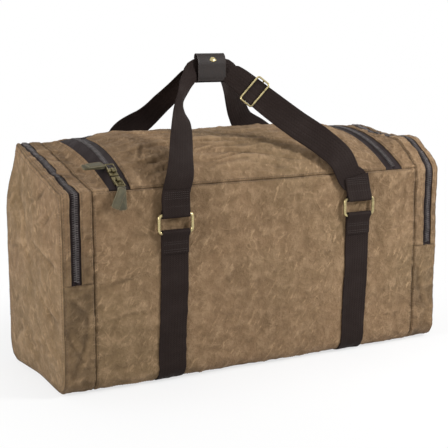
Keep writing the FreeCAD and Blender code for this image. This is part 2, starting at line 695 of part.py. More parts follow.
def make_adjuster():
    """Brass slide on the front handle: two outer bars over the webbing and one under it."""
    stations = handle_stations(-1)
    upper = len(FRONT_LEFT_ROUTE) + 4
    start, end = stations[upper][0], stations[upper + 1][0]
    centre = (start + end) / 2
    run = (end - start).normalize()
    face = Vector(0, 1, 0)
    normal = (run * face.dot(run) - face).normalize()
    width_way = normal.cross(run)
    half_width = WEBBING_WIDTH / 2 + ADJUSTER_BAR + ADJUSTER_SIDE_GAP
    depth = (WEBBING + ADJUSTER_BAR) / 2 + ADJUSTER_PLAY

    def bar(along, across, through, size_along, size_across, size_through):
        box = Part.makeBox(
            size_along,
            size_across,
            size_through,
            Vector(-size_along / 2, -size_across / 2, -size_through / 2),
        )
        matrix = FreeCAD.Matrix()
        matrix.A11, matrix.A21, matrix.A31 = run
        matrix.A12, matrix.A22, matrix.A32 = width_way
        matrix.A13, matrix.A23, matrix.A33 = normal
        place = centre + run * along + width_way * across + normal * through
        matrix.A14, matrix.A24, matrix.A34 = place
        return box.transformGeometry(matrix)

    pieces = []
    for way in (-1, 1):
        across = way * (half_width - ADJUSTER_BAR / 2)
        pieces.append(bar(0, across, 0, ADJUSTER_LENGTH, ADJUSTER_BAR, 2 * depth + ADJUSTER_BAR))
        along = way * (ADJUSTER_LENGTH - ADJUSTER_BAR) / 2
        pieces.append(bar(along, 0, depth, ADJUSTER_BAR, 2 * half_width, ADJUSTER_BAR))
    pieces.append(bar(0, 0, -depth, ADJUSTER_BAR, 2 * half_width, ADJUSTER_BAR))
    return fused(pieces)


def build():
    parts = make_panels()
    parts["lid_panel"] = make_lid()
    parts.update(make_main_zip())
    parts.update(make_main_sliders())
    for name, side, strap_x in (("left", -1, LEFT_STRAP), ("right", 1, RIGHT_STRAP)):
        parts.update(make_pocket(name, side))
        parts.update(make_pocket_slider(name, side))
        parts[f"{name}_body_strap"] = make_body_strap(strap_x)
        for face, face_side in (("front", -1), ("back", 1)):
            parts[f"{face}_{name}_ring"] = make_ring(face_side, strap_x)
    parts["front_handle"] = make_handle(-1)
    parts["back_handle"] = make_handle(1)
    parts["strap_adjuster"] = make_adjuster()
    parts.update(make_grip())
    return parts


os.makedirs("parts", exist_ok=True)
for node, shape in build().items():
    shape.exportStep(f"parts/{node}.step")
    bounds = shape.BoundBox
    print(
        f"{node:24s} solids {len(shape.Solids)} valid {shape.isValid()} volume {shape.Volume:10.0f}",
        f"x {bounds.XMin:.1f} {bounds.XMax:.1f} y {bounds.YMin:.1f} {bounds.YMax:.1f}",
        f"z {bounds.ZMin:.1f} {bounds.ZMax:.1f}",
    )
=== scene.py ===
"""Looks of the canvas duffel bag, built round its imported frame.

Shapes are worked out in millimetres and meshed in metres.
"""

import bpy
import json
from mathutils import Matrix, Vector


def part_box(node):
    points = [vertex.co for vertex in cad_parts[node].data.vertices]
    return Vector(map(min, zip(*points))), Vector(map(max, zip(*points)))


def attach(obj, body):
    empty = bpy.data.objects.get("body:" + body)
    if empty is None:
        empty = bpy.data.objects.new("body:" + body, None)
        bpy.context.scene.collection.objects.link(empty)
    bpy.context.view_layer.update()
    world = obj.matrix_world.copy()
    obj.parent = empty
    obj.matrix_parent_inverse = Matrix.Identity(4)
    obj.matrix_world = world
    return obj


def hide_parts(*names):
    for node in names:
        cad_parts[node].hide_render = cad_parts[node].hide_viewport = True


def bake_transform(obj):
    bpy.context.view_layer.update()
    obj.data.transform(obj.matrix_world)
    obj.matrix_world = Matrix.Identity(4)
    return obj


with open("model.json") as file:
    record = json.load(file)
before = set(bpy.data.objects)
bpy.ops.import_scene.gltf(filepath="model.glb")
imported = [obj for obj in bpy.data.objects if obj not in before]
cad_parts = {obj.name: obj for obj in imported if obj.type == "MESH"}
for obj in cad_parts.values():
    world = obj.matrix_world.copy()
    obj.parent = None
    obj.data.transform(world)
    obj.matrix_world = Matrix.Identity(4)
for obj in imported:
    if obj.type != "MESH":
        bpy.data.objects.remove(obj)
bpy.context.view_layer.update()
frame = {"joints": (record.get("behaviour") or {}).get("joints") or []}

import json
import math

import bpy
import numpy as np
from mathutils import Vector

bl_info = {
    "name": "Canvas Duffel Bag",
    "version": (1, 0, 0),
    "blender": (4, 5, 0),
    "location": "3D View > Sidebar > Duffel",
    "description": "Builds the looks of a canvas duffel bag on its packed frame",
    "category": "Object",
}

MM = 0.001


# ---------------------------------------------------------------- the frame


def corners(node):
    """Lowest and highest corner of a frame node, in millimetres."""
    low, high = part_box(node)
    return np.array(low) / MM, np.array(high) / MM


def pivot(joint):
    """A point on a hinge's axis, in millimetres."""
    found = next(j for j in frame["joints"] if j["name"] == joint)
    return np.array(found["pos_m"]) / MM


FRONT_Y = corners("front_panel")[0][1]
BACK_Y = corners("back_panel")[1][1]
MAIN_HALF = corners("front_panel")[1][0]
HALF = corners("right_end_panel")[1][0]
FOOT, CORNER_TOP = corners("bottom_panel")[0][2], corners("bottom_panel")[1][2]
CORNER = CORNER_TOP - FOOT
AXIS_Y, AXIS_Z = pivot("rear_slider_travel")[1:]
RADIUS = corners("lid_panel")[1][2] - AXIS_Z
LID_HALF = corners("lid_panel")[1][0]
SHOULDER_HALF = corners("right_shoulder")[0][0]
ARM = -pivot("rear_pull_swing")[0]
POCKET_INNER = corners("right_gusset_inner")[1][0]
POCKET_OUTER = corners("right_flap_gusset")[0][0]
POCKET_END = corners("right_pocket_teeth")[0][2]
LEFT_STRAP = sum(corners("left_body_strap"))[0] / 2
RIGHT_STRAP = sum(corners("right_body_strap"))[0] / 2
STRAP_HALF = (corners("left_body_strap")[1][0] - corners("left_body_strap")[0][0]) / 2
FRONT_ANGLE = -math.asin((AXIS_Y - FRONT_Y) / RADIUS)
BACK_ANGLE = math.asin((BACK_Y - AXIS_Y) / RADIUS)
FRONT_SEAM = AXIS_Z + RADIUS * math.cos(FRONT_ANGLE)
BACK_SEAM = AXIS_Z + RADIUS * math.cos(BACK_ANGLE)
LID_BACK = math.asin((corners("lid_panel")[1][1] - AXIS_Y) / RADIUS)
STRIP_FRONT = math.asin((corners("back_top_strip")[0][1] - AXIS_Y) / (RADIUS - 2))
ZIP_BACK = (LID_BACK + STRIP_FRONT) / 2

FLAT = -FRONT_Y - CORNER
FRONT_FOOT = FLAT + CORNER * math.pi / 2
AT_FRONT_SEAM = FRONT_FOOT + FRONT_SEAM - CORNER_TOP
AT_BACK_SEAM = AT_FRONT_SEAM + RADIUS * (BACK_ANGLE - FRONT_ANGLE)
BACK_FOOT = AT_BACK_SEAM + BACK_SEAM - CORNER_TOP
ROUND = BACK_FOOT + FRONT_FOOT


def wall(height):
    """Distance round the section to a height on the front wall."""
    return FRONT_FOOT + height - CORNER_TOP


def top(angle):
    """Distance round the section to an angle on the rounded top."""
    return AT_FRONT_SEAM + RADIUS * (angle - FRONT_ANGLE)


def over(share):
    """Distance round the section to a share of the way over the rounded top."""
    return AT_FRONT_SEAM + (AT_BACK_SEAM - AT_FRONT_SEAM) * share


def rear(height):
    """Distance round the section to a height on the back wall."""
    return AT_BACK_SEAM + BACK_SEAM - height


# ---------------------------------------------------------------- numbers


def ramp(value, start, end):
    """Smooth rise from 0 at start to 1 at end."""
    share = np.clip((value - start) / (end - start), 0, 1)
    return share * share * (3 - 2 * share)


def arch(share):
    """0 at both ends and 1 in the middle."""
    return np.sin(np.pi * np.clip(share, 0, 1))


def bell(value, middle, width):
    """1 at the middle, falling softly to 0 on both sides."""
    return np.exp(-(((value - middle) / width) ** 2))


def window(value, start, full, ebb, end):
    """Smooth rise from 0 to 1 and back to 0."""
    return ramp(value, start, full) * (1 - ramp(value, ebb, end))


def stacked(*parts):
    """Points from their numbers, each an array or one number for all."""
    return np.stack(np.broadcast_arrays(*parts), axis=-1)


def unit(vectors):
    """Vectors made 1 long."""
    vectors = np.asarray(vectors, float)
    return vectors / np.maximum(np.linalg.norm(vectors, axis=-1, keepdims=True), 1e-9)


def distances(path):
    """Distance along a path from its start to each of its points."""
    return np.concatenate([[0], np.cumsum(np.linalg.norm(np.diff(path, axis=0), axis=1))])


def sample(at, run, rows):
    """Rows of numbers read off at places along a run."""
    return np.stack([np.interp(at, run, column) for column in np.asarray(rows, float).T], axis=1)


def rounded(half_length, half_width, corner, count):
    """Outline of a rounded rectangle, as rows of places along and across."""
    outline = []
    for way_u, way_v, start in ((1, 1, 0), (-1, 1, 90), (-1, -1, 180), (1, -1, 270)):
        for turn in np.radians(np.linspace(start, start + 90, count)):
            u = way_u * (half_length - corner) + corner * math.cos(turn)
            v = way_v * (half_width - corner) + corner * math.sin(turn)
            outline.append((u, v))
    return np.array(outline)


def cloth_noise(u, v, seed):
    """Smooth noise from -1 to 1 over two coordinates."""
    cell_u, cell_v = np.floor(u), np.floor(v)
    part_u, part_v = u - cell_u, v - cell_v
    soft_u = part_u**3 * (part_u * (part_u * 6 - 15) + 10)
    soft_v = part_v**3 * (part_v * (part_v * 6 - 15) + 10)

    def slope(step_u, step_v):
        mixed = np.sin((cell_u + step_u) * 127.1 + (cell_v + step_v) * 311.7 + seed * 74.7)
        turn = 2 * np.pi * np.mod(mixed * 43758.5453, 1.0)
        return np.cos(turn) * (part_u - step_u) + np.sin(turn) * (part_v - step_v)

    low = slope(0, 0) * (1 - soft_u) + slope(1, 0) * soft_u
    high = slope(0, 1) * (1 - soft_u) + slope(1, 1) * soft_u
    return 1.5 * (low * (1 - soft_v) + high * soft_v)


RIDGE_LEVEL = 0.2


def crease_noise(u, v, seed):
    """Narrow ridges that wander over two coordinates, level with the cloth on the whole."""
    bend = 0.35 * cloth_noise(u * 0.8 + 5, v * 0.8, seed + 3)
    ridge = np.clip(1 - 2.6 * np.abs(cloth_noise(u + bend, v - bend, seed)), 0, 1)
    return ridge**2 - RIDGE_LEVEL


# ---------------------------------------------------------------- section


def section_table(soften=6):
    """Distance, place and outward direction round the bag's section, from the middle of the bottom.

    The run goes to the front, up the front wall, over the top, down the back wall and under again.
    """

    def shares(length):
        return np.linspace(0, 1, max(2, int(length)), endpoint=False)

    quarter, span = math.pi / 2, BACK_ANGLE - FRONT_ANGLE
    flat = shares(FLAT)
    turn = quarter * shares(CORNER * quarter)
    rise = (FRONT_SEAM - CORNER_TOP) * shares(FRONT_SEAM - CORNER_TOP)
    angle = FRONT_ANGLE + span * shares(RADIUS * span)
    fall = (BACK_SEAM - CORNER_TOP) * shares(BACK_SEAM - CORNER_TOP)
    runs = (
        (-FLAT * flat, FOOT + 0 * flat),
        (-FLAT - CORNER * np.sin(turn), FOOT + CORNER * (1 - np.cos(turn))),
        (FRONT_Y + 0 * rise, CORNER_TOP + rise),
        (AXIS_Y + RADIUS * np.sin(angle), AXIS_Z + RADIUS * np.cos(angle)),
        (BACK_Y + 0 * fall, BACK_SEAM - fall),
        (FLAT + CORNER * np.cos(turn), CORNER_TOP - CORNER * np.sin(turn)),
        (FLAT * (1 - flat), FOOT + 0 * flat),
    )
    y, z = (np.concatenate(part) for part in zip(*runs))
    weights = np.exp(-0.5 * (np.arange(-3 * soften, 3 * soften + 1) / soften) ** 2)
    weights /= weights.sum()
    reach = len(weights) // 2

    def softened(values):
        return np.convolve(np.concatenate([values[-reach:], values, values[:reach]]), weights, "valid")

    y, z = softened(y), softened(z)
    along_y, along_z = np.roll(y, -1) - np.roll(y, 1), np.roll(z, -1) - np.roll(z, 1)
    out_y, out_z = softened(-along_z), softened(along_y)
    length = np.hypot(out_y, out_z)
    distance = np.linspace(0, ROUND, len(y), endpoint=False)
    rows = np.stack([y, z, out_y / length, out_z / length])
    places = np.concatenate([distance - ROUND, distance, distance + ROUND])
    return places, np.concatenate([rows, rows, rows], axis=1)


SECTION = section_table()
LOWEST = 0.3


def off_straps(x, start, end):
    """0 beside the straps, rising to 1 between two distances from their middles."""
    return np.minimum(ramp(np.abs(x - LEFT_STRAP), start, end), ramp(np.abs(x - RIGHT_STRAP), start, end))


def hold(s, x):
    """1 where straps and rings keep the canvas flat, 0 where it is free."""
    front = window(s, wall(150), wall(215), top(FRONT_ANGLE) + 8, top(FRONT_ANGLE) + 45)
    back = window(s, AT_BACK_SEAM - 45, AT_BACK_SEAM - 8, rear(215), rear(150))
    return (1 - off_straps(x, 36, 80)) * (front + back)


def slider_track(s, x):
    """1 along the runs of the sliders, where the canvas lies as the frame does."""
    on_top = window(s, AT_FRONT_SEAM - 12, AT_FRONT_SEAM + 2, AT_BACK_SEAM + 4, AT_BACK_SEAM + 20)
    arm = (1 - ramp(np.abs(np.abs(x) - ARM), 16, 40)) * on_top
    from_pocket_zip = np.abs(np.abs(x) - (POCKET_INNER + POCKET_OUTER) / 2)
    pocket = (1 - ramp(from_pocket_zip, 9, 18)) * ramp(s, AT_BACK_SEAM - 10, AT_BACK_SEAM + 10)
    return np.maximum(arm, pocket)


# Creases pressed in the canvas: x and place at the start, x and place at the end, depth and half width.
# A place is a height on the walls and a share of the way over the top.
FRONT_CREASES = (
    (-362, 165, -326, 118, 2.2, 4),
    (-330, 150, -352, 30, 2.4, 5),
    (-364, 110, -340, 52, 2.0, 4),
    (326, 150, 350, 60, 2.0, 5),
    (-312, 178, -205, 186, 2.4, 5),
    (-312, 118, -205, 124, 1.9, 5),
    (-315, 300, -255, 225, 2.2, 6),
    (-300, 40, -215, 34, 2.1, 5),
    (-268, 330, -225, 262, 2.4, 6),
    (-140, 318, -60, 262, 1.6, 7),
    (-130, 292, -20, 300, 1.4, 6),
    (150, 300, 70, 235, 2.1, 7),
    (140, 318, 30, 296, 1.6, 6),
    (148, 262, 90, 190, 1.6, 7),
    (-150, 60, -70, 30, 1.6, 7),
    (60, 40, 140, 78, 1.6, 7),
    (222, 262, 312, 318, 2.1, 6),
    (222, 214, 300, 262, 1.6, 6),
    (230, 60, 312, 40, 1.9, 6),
)
TOP_CREASES = (
    (-236, 0.07, -120, 0.16, 3.6, 5),
    (-240, 0.16, -150, 0.28, 3.4, 6),
    (-236, 0.33, -60, 0.36, 3.4, 6),
    (-170, 0.47, 0, 0.44, 3.0, 6),
    (-110, 0.26, 60, 0.22, 3.4, 5),
    (-60, 0.35, 110, 0.29, 3.2, 5),
    (-20, 0.14, 90, 0.10, 2.4, 6),
    (60, 0.42, 190, 0.19, 3.6, 7),
    (120, 0.47, 236, 0.26, 3.2, 7),
    (236, 0.10, 150, 0.19, 3.2, 6),
    (200, 0.65, 40, 0.70, 3.0, 7),
    (-220, 0.64, -40, 0.68, 2.8, 7),
    (-118, 0.30, -20, 0.33, 3.0, 3),
    (-112, 0.20, 40, 0.27, 3.2, 3),
    (-104, 0.13, 20, 0.19, 2.8, 3),
    (-40, 0.25, 96, 0.16, 3.0, 3),
    (-116, 0.40, 60, 0.38, 3.0, 4),
    (10, 0.33, 130, 0.40, 2.8, 3),
    (-210, 0.22, -196, 0.40, 2.6, 4),
    (-232, 0.24, -160, 0.20, 2.8, 3),
    (228, 0.16, 196, 0.34, 2.8, 4),
    (-294, 0.14, -316, 0.28, 1.2, 5),
    (294, 0.14, 316, 0.28, 1.2, 5),
)
BACK_CREASES = (
    (-140, 352, -30, 300, 1.4, 7),
    (140, 352, 50, 290, 1.4, 7),
    (-312, 300, -220, 250, 1.3, 6),
    (230, 230, 312, 300, 1.3, 6),
    (-120, 120, 30, 140, 1.0, 7),
    (40, 60, 150, 90, 1.1, 7),
    (-300, 60, -210, 80, 1.1, 6),
)


def crease_list():
    """The canvas creases, with their places as distances round the section."""
    found = []
    for place, rows in ((wall, FRONT_CREASES), (over, TOP_CREASES), (rear, BACK_CREASES)):
        for x0, start, x1, end, depth, width in rows:
            found.append((x0, place(start), x1, place(end), depth, width))
    return found


CREASES = crease_list()


def crease_relief(s, x, creases):
    """Height of the pressed creases: a groove with a soft ridge beside it."""
    height = np.zeros(np.broadcast(s, x).shape)
    for x0, s0, x1, s1, depth, width in creases:
        run = np.array([x1 - x0, s1 - s0], float)
        length = np.hypot(*run)
        run /= length
        along = (x - x0) * run[0] + (s - s0) * run[1]
        across = (x - x0) * -run[1] + (s - s0) * run[0]
        across = across + 0.05 * length * np.sin(along / length * 4.0 + x0)
        profile = 0.8 * bell(across, 1.3 * width, 1.2 * width) - bell(across, 0, width)
        height += depth * arch(along / length) ** 0.6 * profile
    return height


def relief(s, x):
    """Small folds and creases of the canvas, in millimetres."""
    folds = 1.5 * cloth_noise(x / 92, s / 66, 1) + 0.7 * cloth_noise(x / 36, s / 30, 2)
    folds = folds + 1.3 * crease_noise(x / 74, s / 46, 5) + 0.9 * crease_noise(x / 30, s / 22, 9)
    folds = folds + 0.7 * crease_noise((x + 0.6 * s) / 24, (s - 0.4 * x) / 44, 14)
    on_top = window(s, AT_FRONT_SEAM, AT_FRONT_SEAM + 30, AT_BACK_SEAM - 30, AT_BACK_SEAM)
    folds = folds + on_top * (2.0 * cloth_noise(x / 120, s / 24, 12) + 1.2 * crease_noise(x / 60, s / 17, 17))
    calm = (1 - 0.85 * hold(s, x)) * (1 - 0.9 * slider_track(s, x))
    return bpy.context.scene.duffel_shape.crease_depth * calm * (folds + crease_relief(s, x, CREASES))


def swell(s, x):
    """How far the filled bag stands out from its flat frame, in millimetres."""
    shape = bpy.context.scene.duffel_shape
    share = (s - AT_FRONT_SEAM) / (AT_BACK_SEAM - AT_FRONT_SEAM)
    crown = arch(share)
    off_track = 1 - slider_track(s, x)
    front = arch((s - wall(8)) / (wall(FRONT_SEAM) - wall(8))) ** 0.8
    back = arch((s - AT_BACK_SEAM) / (BACK_FOOT - AT_BACK_SEAM)) ** 0.8
    free = (1 - 0.94 * hold(s, x)) * (0.45 + 0.55 * off_straps(x, 26, 90))
    walls = shape.wall_bulge / MM * (front + back) * (1 - 0.8 * ramp(np.abs(x), 250, MAIN_HALF)) * free
    lid = shape.top_bulge / MM * crown**0.8 * (1 - ramp(np.abs(x), 195, LID_HALF + 4))
    beside_left_arm = 8.0 * crown * window(-x, 215, 262, 272, 292) * off_track
    left_end = -26 * ramp(-x, 274, 302) * crown**0.7
    right_end = ramp(x, 288, 318) * (9 * arch(share / 0.5) - 13 * arch((share - 0.3) / 0.7))
    dip = 3.5 * crown * bell(x, -60, 95) * off_track
    lid = lid + beside_left_arm + left_end + right_end - dip
    below = 1 - ramp(np.abs(np.where(s > ROUND / 2, s - ROUND, s)), FLAT - 10, FLAT + 12)
    sag = 1.7 * below * off_straps(x, STRAP_HALF + 2, STRAP_HALF + 22)
    return (1 - below) * (walls + lid + relief(s, x)) + sag


def tuck(s, x):
    """How far the filled ends spread outwards along the bag, in millimetres."""
    past_zip = ramp(np.abs(x), POCKET_OUTER - 2, HALF)
    from_middle = np.minimum(np.abs(s), np.abs(s - ROUND))
    under = window(from_middle, 0, FLAT, FLAT * 0.9, FRONT_FOOT + 50) * np.where(s > ROUND / 2, 1.0, 0.25)
    full_back = window(s, AT_BACK_SEAM + 5, AT_BACK_SEAM + 110, BACK_FOOT - 30, BACK_FOOT + 60)
    full_back = full_back * np.where(x < 0, 13.0, 5.0) - 7.0 * bell(s, AT_BACK_SEAM, 60)
    return np.sign(x) * (past_zip * full_back + 8.0 * ramp(np.abs(x), MAIN_HALF, HALF) * under)


def on_bag(s, x, out=0.0):
    """Points `out` millimetres above the canvas, s round the section and x along the bag."""
    s = np.mod(np.asarray(s, float), ROUND)
    s, x, out = np.broadcast_arrays(s, np.asarray(x, float), np.asarray(out, float))
    table, rows = SECTION
    y, z, out_y, out_z = (np.interp(s, table, row) for row in rows)
    lift = swell(s, x) + out
    return stacked(x + tuck(s, x), y + out_y * lift, np.maximum(z + out_z * lift, LOWEST))


# ---------------------------------------------------------------- meshes


def make_mesh(name, parts, materials, body=None, replaces=(), sharp=55):
    """One piece from parts of (points, faces, cloth coordinates, tone, material index)."""
    points, faces, marks, tone, slots = [], [], [], [], []
    start = 0
    for part in parts:
        part_points = np.asarray(part[0], float).reshape(-1, 3)
        points.append(part_points)
        faces += [[index + start for index in face] for face in part[1]]
        marks.append(np.asarray(part[2], float).reshape(-1, 2))
        tone.append(np.broadcast_to(np.asarray(part[3], float), (len(part_points),)))
        index = part[4] if len(part) > 4 else 0
        slots.append(np.broadcast_to(np.asarray(index, int), (len(part[1]),)))
        start += len(part_points)
    points, marks, tone, slots = (np.concatenate(item) for item in (points, marks, tone, slots))
    mesh = bpy.data.meshes.new(name)
    mesh.from_pydata((points * MM).tolist(), [], faces)
    owner = np.zeros(len(mesh.loops), np.int32)
    mesh.loops.foreach_get("vertex_index", owner)
    cloth = mesh.uv_layers.new(name="cloth")
    cloth.data.foreach_set("uv", (marks[owner] * MM).astype(np.float32).ravel())
    shade = mesh.attributes.new("tone", "FLOAT", "POINT")
    shade.data.foreach_set("value", tone.astype(np.float32))
    for material in materials:
        mesh.materials.append(material)
    mesh.polygons.foreach_set("material_index", slots.astype(np.int32))
    mesh.polygons.foreach_set("use_smooth", np.ones(len(mesh.polygons), bool))
    mesh.set_sharp_from_angle(angle=math.radians(sharp))
    mesh.validate()
    piece = bpy.data.objects.new(name, mesh)
    bpy.context.scene.collection.objects.link(piece)
    if body is not None:
        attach(piece, body)
    if replaces:
        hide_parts(*replaces)
    return piece


def grid_faces(rows, columns, start=0, flip=False, close_rows=False, close_columns=False):
    """Quads of a grid of points stored row by row."""
    faces = []
    last_row = rows if close_rows else rows - 1
    last_column = columns if close_columns else columns - 1
    for i in range(last_row):
        below, above = i * columns + start, ((i + 1) % rows) * columns + start
        for j in range(last_column):
            k = (j + 1) % columns
            face = (below + j, below + k, above + k, above + j)
            faces.append(face[::-1] if flip else face)
    return faces


def slab(outer, inner, marks, tone, materials=(0, 0)):
    """Closed sheet between two grids of points, outer face first."""
    rows, columns = outer.shape[:2]
    size = rows * columns
    faces = grid_faces(rows, columns)
    count = len(faces)
    faces += grid_faces(rows, columns, size, flip=True)
    rim = [i * columns for i in range(rows)]
    rim += [(rows - 1) * columns + j for j in range(1, columns)]
    rim += [i * columns + columns - 1 for i in range(rows - 2, -1, -1)]
    rim += [j for j in range(columns - 2, 0, -1)]
    faces += [(a, b, b + size, a + size) for a, b in zip(rim, rim[1:] + rim[:1])]
    slots = np.full(len(faces), materials[0])
    slots[count : 2 * count] = materials[1]
    points = np.concatenate([outer.reshape(-1, 3), inner.reshape(-1, 3)])
    marks = np.asarray(marks, float).reshape(-1, 2)
    tone = np.broadcast_to(tone, (rows, columns)).ravel()
    return points, faces, np.concatenate([marks, marks]), np.concatenate([tone, tone]), slots


def double_disc(rows, columns, flip):
    """Faces and material indices of a disc of two layers, each with a tip, joined at the rim."""
    size = rows * columns
    faces = grid_faces(rows, columns, flip=flip, close_columns=True)
    slots = [0] * len(faces) + [1] * len(faces)
    faces += grid_faces(rows, columns, size, flip=not flip, close_columns=True)
    last = size - columns
    for j in range(columns):
        k = (j + 1) % columns
        fan = [(last + j, last + k, 2 * size), (size + last + k, size + last + j, 2 * size + 1)]
        fan.append((k, j, size + j, size + k))
        faces += [face[::-1] if flip else face for face in fan]
        slots += [0, 1, 0]
    return faces, slots


def capped_rings(rings, low_tip, high_tip, flip=False):
    """Points and faces of closed rings with a tip beyond the first and the last."""
    rings = np.asarray(rings)
    rows, columns = rings.shape[:2]
    size = rows * columns
    faces = grid_faces(rows, columns, close_columns=True)
    for j in range(columns):
        k = (j + 1) % columns
        faces += [(k, j, size), (size - columns + j, size - columns + k, size + 1)]
    points = np.concatenate([rings.reshape(-1, 3), [low_tip, high_tip]])
    return points, [face[::-1] for face in faces] if flip else faces


BAR_POINTS = 16


def bar_faces(count, flip=False):
    """Faces of separate small bars, each of four rings of four points."""
    block = np.array(grid_faces(4, 4, close_columns=True) + [(3, 2, 1, 0), (12, 13, 14, 15)])
    if flip:
        block = block[:, ::-1]
    return (block + BAR_POINTS * np.arange(count)[:, None, None]).reshape(-1, 4).tolist()


EDGE_STEPS = (0.0, 0.7, 1.6, 2.8, 4.4, 6.5)


def spaced(start, end, step, fine_start=True, fine_end=True):
    """Places from start to end, closer together beside the edges that are fine."""
    first = [start + d for d in EDGE_STEPS] if fine_start else [start]
    last = [end - d for d in EDGE_STEPS[::-1]] if fine_end else [end]
    gap = last[0] - first[-1]
    count = max(1, int(round(gap / step)))
    middle = [first[-1] + gap * i / count for i in range(1, count)]
    return np.array(first + middle + last)


SEAM_DROP = 2.2
HEM_LIFT = 0.9
CANVAS = 1.6


def edge_rise(distance, kind):
    """Rise of a panel near one of its edges: turned in at a seam, doubled at a hem."""
    if kind == "seam":
        return 0.6 * bell(distance, 5, 2.4) - SEAM_DROP * (1 - ramp(distance, -1.0, 3.6))
    if kind == "hem":
        return HEM_LIFT * (1 - ramp(distance, 5.5, 9.5)) - 0.3 * (1 - ramp(distance, 0, 1.2))
    return np.zeros_like(distance)


def canvas_part(s_span, x_span, kinds, step=4.0, push=None):
    """Sewn canvas panel on the bag. Kinds name its edges: s start, s end, x start, x end."""
    s = spaced(*s_span, step, kinds[0] != "free", kinds[1] != "free")
    x = spaced(*x_span, step, kinds[2] != "free", kinds[3] != "free")
    s, x = np.meshgrid(s, x, indexing="ij")
    edges = (s - s_span[0], s_span[1] - s, x - x_span[0], x_span[1] - x)
    rise = sum(edge_rise(away, kind) for away, kind in zip(edges, kinds))
    rise = np.maximum(rise, -SEAM_DROP)
    for away, along, kind in zip(edges, (x, x, s, s), kinds):
        if kind == "seam":
            gather = bell(away, 5, 9) * (away > 1)
            rise = rise + 0.75 * gather * cloth_noise(along / 7.5, away / 40, 61)
    at = x
    if push is not None:
        shift, lift = push(s, x)
        at, rise = x + shift, rise + lift
    # Tone for the finish: lighter on ridges and hems, partly worn wax and partly a painted highlight, and
    # darker in creases and turned-in seams, a painted shade.
    tone = 0.4 * relief(np.mod(s, ROUND), x) + 1.1 * np.minimum(rise, 0) + 0.25 * np.maximum(rise, 0)
    # Painted shade on the end bands' front, below the top.
    shaded_band = ramp(np.abs(x), MAIN_HALF + 1, MAIN_HALF + 6) * ramp(s, FLAT - 10, FLAT + 10)
    tone = tone - 1.15 * shaded_band * (1 - ramp(s, AT_FRONT_SEAM - 80, AT_FRONT_SEAM - 10))
    return slab(on_bag(s, at, rise), on_bag(s, at, rise - CANVAS), stacked(x, s), tone, (0, 1))


# ---------------------------------------------------------------- finishes


class Wiring:
    """Nodes being added to a tree and linked."""

    def __init__(self, tree):
        self.nodes, self.links = tree.nodes, tree.links

    def add(self, kind, values=None, **settings):
        node = self.nodes.new(kind)
        for key, value in settings.items():
            setattr(node, key, value)
        for key, value in (values or {}).items():
            self.set(node.inputs[key], value)
        return node

    def set(self, socket, value):
        if isinstance(value, bpy.types.NodeSocket):
            self.links.new(value, socket)
        else:
            socket.default_value = value

    def math(self, operation, first, second=0.0):
        return self.add("ShaderNodeMath", {0: first, 1: second}, operation=operation).outputs[0]

    def between(self, value, low, high, to_low=0.0, to_high=1.0):
        values = {"Value": value, "From Min": low, "From Max": high, "To Min": to_low, "To Max": to_high}
        return self.add("ShaderNodeMapRange", values, interpolation_type="SMOOTHSTEP").outputs["Result"]

    def seen(self):
        """1 for rays from the camera, off gloss and through glass, 0 for light on the object."""
        ray = self.add("ShaderNodeLightPath").outputs
        direct = self.math("MAXIMUM", ray["Is Camera Ray"], ray["Is Glossy Ray"])
        return self.math("MAXIMUM", direct, ray["Is Transmission Ray"])


class Finish(Wiring):
    """A material being wired, node by node."""

    def __init__(self, name):
        self.material = bpy.data.materials.new(name)
        self.material.use_nodes = True
        super().__init__(self.material.node_tree)
        self.shader = self.nodes["Principled BSDF"]
        self.cloth = self.add("ShaderNodeUVMap", uv_map="cloth").outputs["UV"]
        self.place = self.add("ShaderNodeTexCoord").outputs["Object"]

    def noise(self, vector, scale, detail=3.0, rough=0.5, bend=0.0):
        values = {"Vector": vector, "Scale": scale, "Detail": detail, "Roughness": rough, "Distortion": bend}
        return self.add("ShaderNodeTexNoise", values).outputs["Fac"]

    def mapped(self, vector, **values):
        return self.add("ShaderNodeMapping", {"Vector": vector, **values}).outputs["Vector"]

    def waves(self, vector, scale, direction="X"):
        values = {"Vector": vector, "Scale": scale}
        return self.add("ShaderNodeTexWave", values, bands_direction=direction).outputs["Fac"]

    def weave(self, scale):
        return self.math("MULTIPLY", self.waves(self.cloth, scale, "X"), self.waves(self.cloth, scale, "Y"))

    def mix(self, share, first, second):
        node = self.add("ShaderNodeMix", data_type="RGBA")
        for index, value in ((0, share), (6, first), (7, second)):
            self.set(node.inputs[index], value)
        return node.outputs[2]

    def layer(self, base, value, low, high, share, colour):
        """Lays a colour over a base, from none where the value is low to a share where it is high."""
        return self.mix(self.between(value, low, high, 0.0, share), base, colour)

    def edges(self, base, colour, light, dark, light_share=0.7, dark_share=0.7):
        """Lightens a base on worn edges and darkens it with painted shade in grooves, as the mesh's tone
        says.
        """
        base = self.layer(base, self.tone(), 0.2, 1.0, light_share, shade(colour, light))
        return self.layer(base, self.tone(), -0.2, -1.0, dark_share, shade(colour, dark))

    def tone(self):
        return self.add("ShaderNodeAttribute", attribute_name="tone").outputs["Fac"]

    def bump(self, height, distance, strength=1.0, normal=None):
        values = {"Height": height, "Distance": distance, "Strength": strength}
        if normal is not None:
            values["Normal"] = normal
        return self.add("ShaderNodeBump", values).outputs["Normal"]

    def rough(self, value, low, high):
        return self.between(value, 0.3, 0.7, low, high)

    def finish(self, **values):
        for key, value in values.items():
            self.set(self.shader.inputs[key.replace("_", " ")], value)
        return self.material


def shade(colour, share):
    """A colour made darker or lighter."""
    return tuple(min(1.0, part * share) for part in colour[:3]) + (1.0,)


